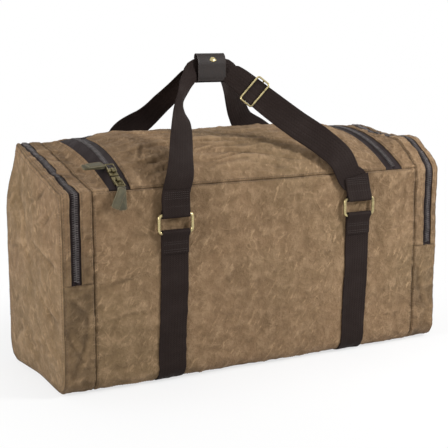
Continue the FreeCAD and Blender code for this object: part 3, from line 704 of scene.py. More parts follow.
def canvas_finish():
    paint = bpy.context.scene.duffel_colours
    dark, light = paint.canvas_dark, paint.canvas_light
    make = Finish("waxed_canvas")
    turned = make.mapped(make.cloth, Rotation=(0.0, 0.0, 0.55))
    blotch = make.noise(make.cloth, 7.0, 3.0, 0.5, 0.5)
    drift = make.noise(make.cloth, 3.0, 2.0, 0.5)
    mottle = make.noise(make.cloth, 44.0, 7.0, 0.68)
    fleck = make.noise(make.mapped(turned, Scale=(1.0, 0.38, 1.0)), 130.0, 5.0, 0.62, 0.25)
    patch = make.noise(make.cloth, 19.0, 3.0, 0.55)
    rub = make.noise(make.mapped(make.cloth, Scale=(0.6, 1.0, 1.0)), 260.0, 4.0, 0.7)
    fold = make.noise(make.mapped(make.cloth, Scale=(0.8, 1.0, 1.0)), 13.0, 3.0, 0.5, 0.4)
    base = make.layer(paint.canvas, blotch, 0.36, 0.64, 0.5, dark)
    base = make.layer(base, drift, 0.45, 0.65, 0.4, paint.canvas_green)
    base = make.layer(base, mottle, 0.47, 0.66, 0.45, light)
    base = make.layer(base, mottle, 0.5, 0.34, 0.36, shade(dark, 0.85))
    flecked = make.between(fleck, 0.52, 0.7, 0.0, 0.75)
    flecked = make.math("MULTIPLY", flecked, make.between(patch, 0.36, 0.62, 0.25, 1.0))
    base = make.mix(flecked, base, shade(light, 1.2))
    base = make.layer(base, rub, 0.56, 0.72, 0.3, shade(dark, 0.8))
    line = make.between(make.math("ABSOLUTE", make.math("SUBTRACT", fold, 0.5)), 0.014, 0.0)
    line = make.math("MULTIPLY", line, make.between(make.noise(make.cloth, 21.0, 2.0, 0.5), 0.5, 0.62))
    base = make.mix(make.math("MULTIPLY", line, 0.32), base, shade(light, 1.25))
    # Painted highlight on the ridges, partly worn wax as well, and painted shade in creases, seams and the
    # front of the end bands, as the mesh's tone says.
    base = make.layer(base, make.tone(), 0.25, 1.2, 0.5, shade(light, 1.05))
    base = make.layer(base, make.tone(), -0.3, -2.2, 0.72, shade(dark, 0.4))
    weave = make.weave(260.0)
    base = make.layer(base, weave, 0.6, 0.0, 0.10, shade(dark, 0.6))
    normal = make.bump(fold, 0.02, 0.55)
    normal = make.bump(line, 0.0012, 0.5, normal)
    normal = make.bump(mottle, 0.011, 0.95, normal)
    normal = make.bump(fleck, 0.003, 0.65, normal)
    normal = make.bump(weave, 0.0004, 0.35, normal)
    rough = make.rough(mottle, 0.86, 0.68)
    sheen = {"Sheen_Weight": 0.03, "Sheen_Roughness": 0.5}
    return make.finish(Base_Color=base, Roughness=rough, Specular_IOR_Level=0.2, Normal=normal, **sheen)


def lining_finish():
    lining = bpy.context.scene.duffel_colours.lining
    make = Finish("lining_cloth")
    ribs = make.weave(170.0)
    cloud = make.noise(make.cloth, 24.0, 4.0, 0.6)
    base = make.layer(lining, cloud, 0.35, 0.65, 1.0, shade(lining, 1.6))
    base = make.layer(base, ribs, 0.5, 0.0, 0.3, shade(lining, 0.5))
    rough, normal = make.rough(cloud, 0.5, 0.68), make.bump(ribs, 0.0004, 0.5)
    return make.finish(Base_Color=base, Roughness=rough, Sheen_Weight=0.1, Normal=normal)


def webbing_finish():
    webbing = bpy.context.scene.duffel_colours.webbing
    make = Finish("cotton_webbing")
    slant = make.add("ShaderNodeSeparateXYZ", {0: make.cloth})
    line = make.math("ADD", slant.outputs[1], make.math("PINGPONG", slant.outputs[0], 0.005))
    chevron = make.waves(make.add("ShaderNodeCombineXYZ", {0: line}).outputs[0], 90.0)
    fibre = make.noise(make.mapped(make.cloth, Scale=(3.0, 1.0, 1.0)), 260.0, 3.0, 0.7)
    worn = make.noise(make.cloth, 16.0, 4.0, 0.6)
    base = make.layer(shade(webbing, 0.7), chevron, 0.1, 0.9, 1.0, shade(webbing, 1.25))
    base = make.layer(base, fibre, 0.45, 0.75, 0.4, shade(webbing, 2.2))
    base = make.layer(base, worn, 0.45, 0.75, 0.35, shade(webbing, 1.7))
    # Worn edges lightened and painted shade in the grooves, as the mesh's tone says.
    base = make.edges(base, webbing, 2.0, 0.35, light_share=0.6)
    normal = make.bump(make.waves(make.cloth, 60.0), 0.0005, 0.35, make.bump(chevron, 0.0005, 0.6))
    rough = make.rough(worn, 0.82, 0.66)
    return make.finish(Base_Color=base, Roughness=rough, Specular_IOR_Level=0.12, Normal=normal)


def leather_finish(name, colour, worn_share):
    make = Finish(name)
    pores = make.add("ShaderNodeTexVoronoi", {"Vector": make.place, "Scale": 620.0, "Randomness": 1.0})
    grain = make.between(pores.outputs["Distance"], 0.0, 0.55)
    cloud = make.noise(make.place, 60.0, 5.0, 0.62, 0.4)
    base = make.layer(shade(colour, 0.75), cloud, 0.38, 0.66, 1.0, shade(colour, 1.25))
    base = make.layer(base, grain, 0.5, 0.0, 0.35, shade(colour, 0.5))
    base = make.layer(base, make.tone(), 0.1, 1.0, worn_share, shade(colour, 2.4))
    normal = make.bump(cloud, 0.001, 0.35, make.bump(grain, 0.0004, 0.5))
    rough = make.rough(cloud, 0.5, 0.68)
    return make.finish(Base_Color=base, Roughness=rough, Specular_IOR_Level=0.26, Normal=normal)


def brass_finish(name, colour):
    make = Finish(name)
    cloud = make.noise(make.place, 90.0, 5.0, 0.65, 0.5)
    speck = make.noise(make.place, 520.0, 3.0, 0.7)
    base = make.layer(colour, cloud, 0.42, 0.7, 1.0, shade(colour, 0.45))
    base = make.layer(base, speck, 0.6, 0.75, 0.6, shade(colour, 0.25))
    rough = make.between(cloud, 0.35, 0.7, 0.24, 0.42)
    rough = make.math("ADD", rough, make.between(speck, 0.55, 0.8, 0.0, 0.2))
    return make.finish(Base_Color=base, Metallic=1.0, Roughness=rough, Normal=make.bump(cloud, 0.0006, 0.25))


def tape_finish():
    tape = bpy.context.scene.duffel_colours.tape
    make = Finish("zip_tape_cloth")
    twill = make.waves(make.cloth, 180.0, "DIAGONAL")
    cloud = make.noise(make.cloth, 40.0, 4.0, 0.6)
    base = make.layer(shade(tape, 0.75), twill, 0.1, 0.9, 1.0, shade(tape, 1.3))
    base = make.layer(base, cloud, 0.4, 0.7, 0.4, shade(tape, 1.8))
    # Lighter along the raised bead, and painted shade in the groove beside it, as the mesh's tone says.
    base = make.edges(base, tape, 1.9, 0.35)
    rough, normal = make.rough(cloud, 0.7, 0.55), make.bump(twill, 0.0003, 0.6)
    return make.finish(Base_Color=base, Roughness=rough, Specular_IOR_Level=0.12, Normal=normal)


def teeth_finish():
    teeth = bpy.context.scene.duffel_colours.teeth
    make = Finish("zip_teeth_metal")
    cloud = make.noise(make.place, 140.0, 4.0, 0.6)
    base = make.layer(teeth, cloud, 0.35, 0.65, 1.0, shade(teeth, 0.5))
    # Painted highlight on the teeth, as the tone of their sections says.
    base = make.layer(base, make.tone(), 0.3, 1.0, 0.6, shade(teeth, 1.9))
    rough, normal = make.rough(cloud, 0.44, 0.6), make.bump(cloud, 0.0004, 0.3)
    return make.finish(Base_Color=base, Metallic=0.3, Roughness=rough, Normal=normal)


def board_finish():
    cover = bpy.context.scene.duffel_colours.lining
    make = Finish("base_board_cover")
    cloud = make.noise(make.place, 30.0, 5.0, 0.6)
    fleck = make.noise(make.place, 400.0, 3.0, 0.7)
    base = make.layer(shade(cover, 0.7), cloud, 0.35, 0.65, 1.0, shade(cover, 1.2))
    base = make.layer(base, fleck, 0.55, 0.7, 0.4, shade(cover, 2.0))
    rough, normal = make.rough(fleck, 0.6, 0.8), make.bump(fleck, 0.0005, 0.4)
    return make.finish(Base_Color=base, Roughness=rough, Normal=normal)


def thread_finish(name, colour):
    make = Finish(name)
    twist = make.noise(make.place, 900.0, 2.0, 0.6)
    base = make.layer(shade(colour, 0.7), twist, 0.35, 0.65, 1.0, shade(colour, 1.2))
    rough, normal = make.rough(twist, 0.75, 0.6), make.bump(twist, 0.0003, 0.5)
    return make.finish(Base_Color=base, Roughness=rough, Normal=normal)


made = {}


def finish(key):
    """One of the bag's materials, made when it is first asked for."""
    paint = bpy.context.scene.duffel_colours
    makers = {
        "canvas": canvas_finish,
        "lining": lining_finish,
        "webbing": webbing_finish,
        "leather": lambda: leather_finish("dark_leather", paint.leather, 0.5),
        "tab": lambda: leather_finish("olive_leather", paint.tab, 0.7),
        "brass": lambda: brass_finish("antique_brass", paint.brass),
        "dark_brass": lambda: brass_finish("darkened_brass", shade(paint.brass, 0.4)),
        "tape": tape_finish,
        "teeth": teeth_finish,
        "board": board_finish,
        "canvas_thread": lambda: thread_finish("canvas_thread", shade(paint.canvas_dark, 0.75)),
        "dark_thread": lambda: thread_finish("dark_thread", shade(paint.webbing, 1.6)),
    }
    if key not in made:
        made[key] = makers[key]()
    return made[key]


# ---------------------------------------------------------------- joints crossed by cloth


def cross_lid(piece):
    """Bakes a piece's placement into its mesh."""
    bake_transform(piece)


def cross_flap(piece):
    """Bakes a piece's placement into its mesh."""
    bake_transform(piece)


# ---------------------------------------------------------------- threads


# Cloth thread, slot, pitch, width and height of each kind of stitch
STITCHES = {
    "canvas": ("canvas_thread", "canvas", 4.6, 1.0, 0.55),
    "webbing": ("dark_thread", "webbing", 3.4, 0.9, 0.4),
    "grip": ("dark_thread", "leather", 3.2, 0.8, 0.4),
    "tab": ("canvas_thread", "leather", 2.4, 0.7, 0.35),
}
STITCH_COVER = 0.74
STITCH_LONG = (-0.5, -0.25, 0.25, 0.5)
STITCH_WIDE = (0.45, 1.0, 1.0, 0.45)
STITCH_SECTION = ((-0.5, -0.5), (-0.28, 1.0), (0.28, 1.0), (0.5, -0.5))


def thread_rows(rows, pitch, width, height):
    """Stitches along rows of (points, outward directions), as one part."""
    points = []
    for line, out in rows:
        run = distances(line)
        count = max(1, int(run[-1] / pitch))
        at = (np.arange(count) + 0.5) * run[-1] / count
        middle = sample(at, run, line)
        along = unit(sample(at + 1, run, line) - sample(at - 1, run, line))
        up = unit(sample(at, run, out))
        across = np.cross(up, along)
        rings = []
        for long, wide in zip(STITCH_LONG, STITCH_WIDE):
            for sideways, rise in STITCH_SECTION:
                lift = height * rise * (wide if rise > 0 else 1)
                spot = middle + along * STITCH_COVER * pitch * long + across * width * wide * sideways
                rings.append(spot + up * lift)
        points.append(np.stack(rings, axis=1).reshape(-1, 3))
    points = np.concatenate(points)
    return points, bar_faces(len(points) // BAR_POINTS), points[:, [0, 2]], 0.0


def sew(name, kind, rows, body=None):
    """A piece of stitches of one kind."""
    thread, slot, pitch, width, height = STITCHES[kind]
    return make_mesh(name, [thread_rows(rows, pitch, width, height)], [finish(thread)], body)


def seam_row(start, end, rise=0.5, step=6.0):
    """A row on the canvas between two places given as (distance round, x)."""
    start, end = np.array(start, float), np.array(end, float)
    count = max(2, int(np.abs(end - start).max() / step) + 1)
    run = start + (end - start) * np.linspace(0, 1, count)[:, None]
    low = on_bag(run[:, 0], run[:, 1], rise)
    return low, on_bag(run[:, 0], run[:, 1], rise + 1) - low


def level_row(s, half, rise=0.5):
    """A row along the bag, as far to its left as to its right."""
    return seam_row((s, -half), (s, half), rise)


def round_row(start, end, x, rise=0.5):
    """A row round the bag."""
    return seam_row((start, x), (end, x), rise)


# ---------------------------------------------------------------- canvas panels


def canvas_piece(name, part, *nodes, body="shell"):
    """A lined canvas panel that stands for frame nodes."""
    return make_mesh(name, [part], (finish("canvas"), finish("lining")), body, nodes)


def side_part(side, s_span, inner, outer, inner_kind, outer_kind, push=None):
    """Canvas panel between two distances from the bag's middle, on its left (-1) or right (1)."""
    x_span, kinds = (inner, outer), (inner_kind, outer_kind)
    if side < 0:
        x_span, kinds = (-outer, -inner), kinds[::-1]
    return canvas_part(s_span, x_span, ("seam", "seam", *kinds), 3.0, push)


TURN = 8.0
HEM = 3.5
LAP = 3.5
ON_HEM = 0.9
SIDES = (("left", -1), ("right", 1))


def make_main_canvas():
    seams, across = ("seam",) * 4, (-MAIN_HALF, MAIN_HALF)
    canvas_piece("front_canvas", canvas_part((FLAT + TURN, AT_FRONT_SEAM), across, seams, 4), "front_panel")
    back = canvas_part((AT_BACK_SEAM, ROUND - FLAT - TURN), across, seams, 5)
    canvas_piece("back_canvas", back, "back_panel")
    canvas_piece("bottom_canvas", canvas_part((-FLAT - TURN, FLAT + TURN), across, seams, 7), "bottom_panel")
    lid_span = (-LID_HALF - LAP, LID_HALF + LAP)
    lid = canvas_part((AT_FRONT_SEAM, top(LID_BACK)), lid_span, ("seam", "hem", "hem", "hem"), 3)
    cross_lid(canvas_piece("top_canvas", lid, "front_top_strip", "lid_panel", body=None))
    strip_span, kinds = (-SHOULDER_HALF, SHOULDER_HALF), ("hem", "seam", "free", "free")
    strip = canvas_part((top(STRIP_FRONT), AT_BACK_SEAM), strip_span, kinds, 4)
    canvas_piece("back_strip_canvas", strip, "back_top_strip")
    for name, side in SIDES:
        top_span = (AT_FRONT_SEAM, AT_BACK_SEAM)
        shoulder = side_part(side, top_span, SHOULDER_HALF - LAP, MAIN_HALF, "hem", "seam")
        canvas_piece(f"{name}_shoulder_canvas", shoulder, f"{name}_shoulder")
    rows = [level_row(wall(FRONT_SEAM) - HEM, MAIN_HALF - 6), level_row(AT_BACK_SEAM + HEM, MAIN_HALF - 6)]
    rows.append(level_row(top(STRIP_FRONT) + HEM, SHOULDER_HALF - 4, ON_HEM))
    rows.append(level_row(FLAT + TURN + HEM, MAIN_HALF - 6))
    for _, side in SIDES:
        seam, hem = side * (MAIN_HALF - HEM), side * (SHOULDER_HALF - LAP + HEM)
        rows.append(round_row(FLAT + TURN + 6, AT_FRONT_SEAM - 6, seam))
        rows.append(round_row(AT_BACK_SEAM + 6, ROUND - FLAT - 14, seam))
        rows.append(round_row(AT_FRONT_SEAM + 3, AT_BACK_SEAM - 12, hem, ON_HEM))
        rows.append(round_row(AT_FRONT_SEAM + 5, AT_BACK_SEAM - 5, seam))
    sew("shell_stitches", "canvas", rows, "shell")
    edge = top(LID_BACK) - HEM
    rows = [level_row(AT_FRONT_SEAM + HEM, LID_HALF - 4), level_row(edge, LID_HALF - HEM, ON_HEM)]
    for _, side in SIDES:
        rows.append(round_row(AT_FRONT_SEAM + 4, edge, side * (LID_HALF + LAP - HEM), ON_HEM))
    cross_lid(sew("lid_stitches", "canvas", rows))


# Gathers along the pocket zips: share of the way over the top, and size
PUCKERS = ((0.16, 3.2), (0.36, 4.6), (0.55, 3.6), (0.78, 4.4))


def pucker(s, x):
    """Shift and rise of a band where its zip gathers it."""
    far = ramp(np.abs(x), MAIN_HALF + 5, POCKET_INNER)
    gather = far * sum(size * bell(s, over(place), 11) for place, size in PUCKERS)
    return np.sign(x) * gather, 0.35 * gather


def make_end_bands():
    low, high = wall(POCKET_END), rear(POCKET_END)
    span = (low - 2, high + 2)
    for name, side in SIDES:
        lower = side_part(side, (high - 1 - ROUND, low + 1), MAIN_HALF, HALF, "seam", "seam")
        canvas_piece(f"{name}_lower_band", lower, f"{name}_gusset_lower")
        inner = side_part(side, span, MAIN_HALF, POCKET_INNER, "seam", "hem", pucker)
        canvas_piece(f"{name}_inner_band", inner, f"{name}_gusset_inner")
        outer = side_part(side, span, POCKET_OUTER, HALF, "hem", "seam")
        cross_flap(canvas_piece(f"{name}_outer_band", outer, f"{name}_flap_gusset", body=None))
        seam, hem = side * (MAIN_HALF + HEM), side * (POCKET_INNER - HEM + 0.6)
        rows = [round_row(low + 4, high - 4, seam), round_row(low + 4, high - 4, hem, ON_HEM)]
        for place in (low - 0.8, high + 0.8):
            rows.append(seam_row((place, seam), (place, side * (HALF - 5)), ON_HEM))
        rows.append(round_row(high - ROUND + 4, low - 4, seam))
        sew(f"{name}_band_stitches", "canvas", rows, "shell")


# y and z at the start, y and z at the end, depth and half width
END_CREASES = (
    (-95, 300, -10, 262, 2.7, 5),
    (-70, 340, 30, 300, 2.4, 5),
    (100, 320, 30, 250, 3.0, 6),
    (-105, 215, 10, 228, 3.2, 5),
    (20, 232, 110, 206, 3.0, 5),
    (-100, 120, -20, 165, 2.4, 6),
    (105, 110, 20, 150, 2.4, 6),
    (-90, 45, -30, 95, 2.7, 6),
    (95, 40, 40, 90, 3.0, 6),
    (-40, 60, 50, 52, 2.2, 6),
    (60, 340, 108, 250, 2.4, 5),
)
END_BULGE = 11.0
END_SOFTNESS = 1.5
END_SEAM = 0.045
END_LIMIT = 15.0


def inwards(rim, share, height):
    """y and z on the way from a rim to a place at a height in the middle of the bag."""
    return rim[..., 1] * (1 - share), rim[..., 2] * (1 - share) + height * share


def end_surface(side, share, s, out=0.0):
    """Points on an end panel and its folds: share 0 on its rim, 1 in its middle, s round the section."""
    rim = on_bag(s, side * HALF, -1.0)
    y, z = inwards(rim, share, (FRONT_SEAM + BACK_SEAM) / 4 + 8)
    steep = 2.0 + 5.0 * ramp(rim[..., 1], -60, 120)
    pillow = 1 - np.clip(1 - share, 0, 1) ** steep
    folds = 1.8 * cloth_noise(y / 60 + side, z / 70, 21) + 0.8 * cloth_noise(y / 26, z / 28, 22)
    folds = folds + 1.1 * crease_noise(y / 55, z / 60, 25 + side) + crease_relief(z, y, END_CREASES)
    folds = folds * 1.3 * bpy.context.scene.duffel_shape.crease_depth * ramp(share, 0.0, 0.14)
    height = END_BULGE * pillow * (0.74 + 0.4 * bell(z, 150, 120)) + folds
    spread = (side * rim[..., 0] - HALF) * (1 - share) - 1.5 * share + height
    spread = END_LIMIT - END_SOFTNESS * np.log1p(np.exp((END_LIMIT - spread) / END_SOFTNESS))
    return stacked(side * (HALF + spread + out), y, z), folds


def make_ends():
    shares = np.concatenate([[0, 0.006, 0.014, 0.026, 0.044, 0.07], np.linspace(0.1, 0.96, 36)])
    around = np.linspace(0, ROUND, 300, endpoint=False)
    low, high = wall(POCKET_END), rear(POCKET_END)
    tip = np.array([1.0]), np.array([0.0])
    for name, side in SIDES:
        share, s = np.meshgrid(shares, around, indexing="ij")
        turned = -1.4 * (1 - ramp(share, 0.0, 0.03)) + 0.5 * bell(share, END_SEAM, 0.02)
        outer, folds = end_surface(side, share, s, turned)
        inner, _ = end_surface(side, share, s, turned - CANVAS)
        tips = [end_surface(side, *tip, out)[0] for out in (0.0, -CANVAS)]
        points = np.concatenate([outer.reshape(-1, 3), inner.reshape(-1, 3), *tips])
        # Tone for the finish: lighter on the folds' ridges, partly worn wax and partly a painted highlight,
        # and painted shade in their grooves and at the turned-in rim.
        tone = np.concatenate([(0.36 * folds + 0.5 * turned).ravel()] * 2 + [[0.0, 0.0]])
        faces, slots = double_disc(*share.shape, side > 0)
        part = (points, faces, points[:, 1:] + 900 * side, tone, slots)
        nodes = (f"{name}_end_panel", f"{name}_flap_panel")
        cross_flap(canvas_piece(f"{name}_end_canvas", part, *nodes, body=None))
        seam = np.full(260, END_SEAM), np.linspace(0, ROUND, 260)
        line, above = (end_surface(side, *seam, out)[0] for out in (0.5, 1.5))
        rows = [(line, above - line)]
        for place in (POCKET_OUTER + HEM, HALF - HEM):
            rows.append(round_row(low + 3, high - 3, side * place, 0.8))
        rows.append(round_row(high - ROUND + 4, low - 4, side * (HALF - HEM)))
        cross_flap(sew(f"{name}_end_stitches", "canvas", rows))


def make_inside():
    """The cloth dividers beside the end pockets, and the stiffener board, which keeps its frame shape."""
    shares = np.concatenate([[0, 0.02], np.linspace(0.06, 0.97, 16)])
    around = np.linspace(0, ROUND, 160, endpoint=False)
    height = (FRONT_SEAM + BACK_SEAM) / 4
    for name, side in SIDES:
        share, s = np.meshgrid(shares, around, indexing="ij")
        y, z = inwards(on_bag(s, side * (MAIN_HALF - 1), -2.4), share, height)
        wave = 1.6 * cloth_noise(y / 50, z / 60, 51 + side) * ramp(share, 0, 0.2)
        places = [MAIN_HALF - 1.0, MAIN_HALF - 2.2]
        layers = [stacked(side * (place + wave), y, z).reshape(-1, 3) for place in places]
        points = np.concatenate(layers + [[(side * place, 0.0, height) for place in places]])
        faces, _ = double_disc(*share.shape, side > 0)
        part = (points, faces, points[:, 1:], 0.0)
        make_mesh(f"{name}_divider_cloth", [part], [finish("lining")], "shell", [f"{name}_divider"])
    dress("base_board", "board")


def dress(node, key):
    """Gives a frame node one of the bag's finishes."""
    data = bpy.data.objects[node].data
    data.materials.clear()
    data.materials.append(finish(key))


# ---------------------------------------------------------------- zips


# Reach, half length and rise at each section of a tooth, from its foot to its tip
TOOTH = ((-0.7, 0.6, 1.0), (0.5, 0.85, 1.5), (3.2, 0.75, 1.5), (4.6, 0.7, 1.0))
# Painted highlight at each section of a tooth, from its foot to its tip.
TOOTH_HIGHLIGHT = (0.6, 0.3, 0.0, -0.2)
TOOTH_PITCH = 3.6
TOOTH_FOOT = -0.9


def tooth_rows(path, side, start_at=0.0):
    """Teeth along a path of (distance round, x) places, on its left (1) or right (-1)."""
    path = np.asarray(path, float)
    run = distances(path)
    count = int((run[-1] - start_at - 1) / TOOTH_PITCH)
    at = start_at + (np.arange(count) + 0.5) * TOOTH_PITCH
    middle = sample(at, run, path)
    along = unit(sample(at + 1, run, path) - sample(at - 1, run, path))
    across = stacked(along[:, 1], -along[:, 0]) * side
    rings = []
    for reach, half, rise in TOOTH:
        for way, lift in ((-1, TOOTH_FOOT), (-1, rise), (1, rise), (1, TOOTH_FOOT)):
            place = middle + across * reach + along * half * way
            rings.append(on_bag(place[:, 0], place[:, 1], lift))
    points = np.stack(rings, axis=1).reshape(-1, 3)
    tone = np.tile(np.repeat(TOOTH_HIGHLIGHT, 4), count)
    return points, bar_faces(count, side < 0), points[:, [0, 2]], tone


ZIP_BEND = 10.0


def main_zip_path():
    """The middle of the main teeth: up the left arm, across the back and down the right arm."""
    straight = top(ZIP_BACK) - ZIP_BEND
    path = [(s, -ARM) for s in np.linspace(AT_FRONT_SEAM + 3, straight, 90)]
    for turn in np.linspace(0, math.pi / 2, 9)[1:]:
        path.append((straight + ZIP_BEND * math.sin(turn), ZIP_BEND * (1 - math.cos(turn)) - ARM))
    return path + [(top(ZIP_BACK), 0.0)] + [(s, -x) for s, x in path[::-1]]


TAPE_RISE = -1.0
TAPE_THICK = 0.9


def tape_part(s_span, x_span, bead, step=5.0, drop=0.0):
    """Zip tape; bead names the edge along the teeth: 's0', 's1', 'x0' or 'x1'."""
    s, x = np.meshgrid(spaced(*s_span, step), spaced(*x_span, step), indexing="ij")
    edges = {"s0": s - s_span[0], "s1": s_span[1] - s, "x0": x - x_span[0], "x1": x_span[1] - x}
    away = edges[bead]
    rise = TAPE_RISE - drop + 0.8 * bell(away, 4.6, 1.1)
    rise = rise + 0.15 * (bell(away, 9.5, 0.7) + bell(away, 12.5, 0.7))
    # Tone for the finish: lighter along the raised bead, and painted shade in the groove beside it.
    tone = 0.9 * bell(away, 4.6, 1.3) - 0.5 * bell(away, 7.2, 1.2)
    return slab(on_bag(s, x, rise), on_bag(s, x, rise - TAPE_THICK), stacked(x, s), tone)


ZIP_GAP = 0.8


def zip_piece(name, kind, parts, *nodes, body="shell"):
    """Zip tapes or a row of teeth that stand for frame nodes."""
    return make_mesh(name, parts, [finish(kind)], body, nodes)


def make_main_zip():
    start, far, under = AT_FRONT_SEAM + 0.5, top(ZIP_BACK), AT_BACK_SEAM - 4
    near, clear = ARM - ZIP_GAP, ARM + ZIP_GAP
    body = [tape_part((far + ZIP_GAP, under), (-clear, clear), "s0", drop=0.15)]
    lid = [tape_part((top(LID_BACK) - 4, far - ZIP_GAP), (-near, near), "s1", drop=0.15)]
    body.append(tape_part((start, under), (-SHOULDER_HALF - 4, -clear), "x1"))
    body.append(tape_part((start, under), (clear, SHOULDER_HALF + 4), "x0"))
    lid.append(tape_part((start, far - ZIP_GAP - 4), (-near, -LID_HALF + 4), "x0"))
    lid.append(tape_part((start, far - ZIP_GAP - 4), (LID_HALF - 4, near), "x1"))
    zip_piece("body_zip_tape", "tape", body, "main_zip_body_tape")
    cross_lid(zip_piece("lid_tape", "tape", lid, "lid_zip_tape", "main_zip_front_tape", body=None))
    path = main_zip_path()
    zip_piece("body_zip_teeth", "teeth", [tooth_rows(path, -1)], "main_zip_body_teeth")
    inner = [tooth_rows(path, 1, TOOTH_PITCH / 2)]
    cross_lid(zip_piece("lid_teeth", "teeth", inner, "lid_zip_teeth", "main_zip_front_teeth", body=None))


def make_pocket_zips():
    low, high = wall(POCKET_END), rear(POCKET_END)
    span = (low - 2, high + 2)
    middle = (POCKET_INNER + POCKET_OUTER) / 2
    for name, side in SIDES:
        spans = ((POCKET_INNER - 4, middle - ZIP_GAP), (middle + ZIP_GAP, POCKET_OUTER + 4))
        beads = ("x1", "x0")[::side]
        inner, outer = (
            tape_part(span, sorted((side * start, side * end)), bead, 4)
            for (start, end), bead in zip(spans, beads)
        )
        zip_piece(f"{name}_inner_tape", "tape", [inner], f"{name}_pocket_tape")
        cross_flap(zip_piece(f"{name}_outer_tape", "tape", [outer], f"{name}_flap_tape", body=None))
        path = [(s, side * middle) for s in np.linspace(low + 4, high - 4, 300)]
        inner, outer = tooth_rows(path, side), tooth_rows(path, -side, TOOTH_PITCH / 2)
        zip_piece(f"{name}_inner_teeth", "teeth", [inner], f"{name}_pocket_teeth")
        cross_flap(zip_piece(f"{name}_outer_teeth", "teeth", [outer], f"{name}_flap_teeth", body=None))


# ---------------------------------------------------------------- sliders and pulls


def soften_metal(node, width):
    """Rounds the edges of a frame node and gives it brass."""
    piece = bpy.data.objects[node]
    dress(node, "dark_brass")
    weld = piece.modifiers.new("weld", "WELD")
    weld.merge_threshold = 0.00001
    bevel = piece.modifiers.new("rounded_edges", "BEVEL")
    bevel.width = width * MM
    bevel.segments = 3
    bevel.limit_method = "ANGLE"
    bevel.angle_limit = math.radians(35)


# Share of the outline and share of the half thickness, from a tab's edge to its middle
TAB_SECTION = ((1, 0), (1, 0.55), (0.97, 0.8), (0.9, 0.94), (0.8, 1), (0.74, 0.86), (0.66, 1), (0.3, 1.08))
TAB_SEAM = 0.79


def tab_part(centre, along, out, length, width, thick):
    """Leather tab of two layers, and the row of stitches round its border."""
    along = unit(along)
    out = unit(out - along * np.dot(out, along))
    across = np.cross(out, along)
    rim = rounded(length / 2, width / 2, 3.5, 7)

    def ring(share, height):
        margin = width / 2 * (1 - share)
        flat = rim * np.clip(1 - margin / np.maximum(np.abs(rim), 1e-6), 0, 1)
        lift = height * thick / 2 + 0.5 * np.cos(flat[:, 0] / length * math.pi) - 0.3
        return centre + flat[:, :1] * along + flat[:, 1:] * across + lift[:, None] * out

    section = [(share, -height) for share, height in TAB_SECTION[:0:-1]] + list(TAB_SECTION)
    tones = [0.8 if 0.5 < abs(height) < 0.95 and share > 0.9 else -0.1 for share, height in section]
    rings = [ring(share, height) for share, height in section]
    tip = out * thick * 0.5
    points, faces = capped_rings(rings, centre - tip, centre + tip, flip=True)
    marks = stacked((points - centre) @ along, (points - centre) @ across)
    tone = np.concatenate([np.repeat(tones, len(rim)), [0.0, 0.0]])
    border = ring(TAB_SEAM, 0.94)
    border = np.concatenate([border, border[:1]])
    return (points, faces, marks, tone), (border, np.repeat([out], len(border), axis=0))


TAB_LENGTH, TAB_WIDTH, TAB_THICK = 38.0, 14.0, 3.0


def tab(name, node, body, along, out, sides=None):
    """A pull's leather tab, with a second one splayed over it when its direction is given."""
    low, high = corners(node)
    middle, along, out = (low + high) / 2, unit(along), unit(out)
    tabs = [tab_part(middle, along, out, TAB_LENGTH, TAB_WIDTH, TAB_THICK)]
    if sides is not None:
        sides = unit(sides)
        middle = middle - along * 15 + sides * 16 + out * (TAB_THICK + 0.8)
        tabs.append(tab_part(middle, sides, out, TAB_LENGTH - 3, TAB_WIDTH, TAB_THICK))
    parts, borders = zip(*tabs)
    make_mesh(name, parts, [finish("tab")], body, [node], sharp=70)
    sew(f"{name}_stitches", "tab", borders, body)


PULLS = ("front", "rear", "left_pocket", "right_pocket")


def make_pulls():
    for name in PULLS:
        soften_metal(f"{name}_slider", 0.7)
    for name in PULLS:
        dress(f"{name}_puller", "dark_brass")
    low, high = corners("front_tab")
    lean = (high[1] - low[1] - TAB_THICK) / (high[2] - low[2])
    tab("front_pull_tab", "front_tab", "front_pull", (0, -lean, -1), (0, -1, lean), (-0.5, -lean, -1))
    rise = math.asin((sum(corners("rear_tab"))[1] / 2 - AXIS_Y) / RADIUS)
    out = (0, math.sin(rise), math.cos(rise))
    tab("rear_pull_tab", "rear_tab", "rear_pull", (-1, 0, 0), out, (-1, -0.45, 0))
    for name, _ in SIDES:
        tab(f"{name}_pocket_pull_tab", f"{name}_pocket_tab", f"{name}_pocket_pull", (0, 0, -1), (0, 1, 0))


# ---------------------------------------------------------------- webbing


WEB = 2.4
WEB_EDGES = (-1.0, -0.985, -0.95, -0.86, -0.6, -0.3, 0.0, 0.3, 0.6, 0.86, 0.95, 0.985, 1.0)
WEB_ROUND = (0.35, 0.75, 1.0, 1.0, 1.0, 1.0, 1.0, 1.0, 1.0, 1.0, 1.0, 0.75, 0.35)


def web_tone(u):
    """Worn edges, lighter, and painted shade in the grooves beside them, across webbing from -1 to 1."""
    return 0.35 * (np.abs(u) > 0.94) - 0.25 * (np.abs(np.abs(u) - 0.86) < 0.02)


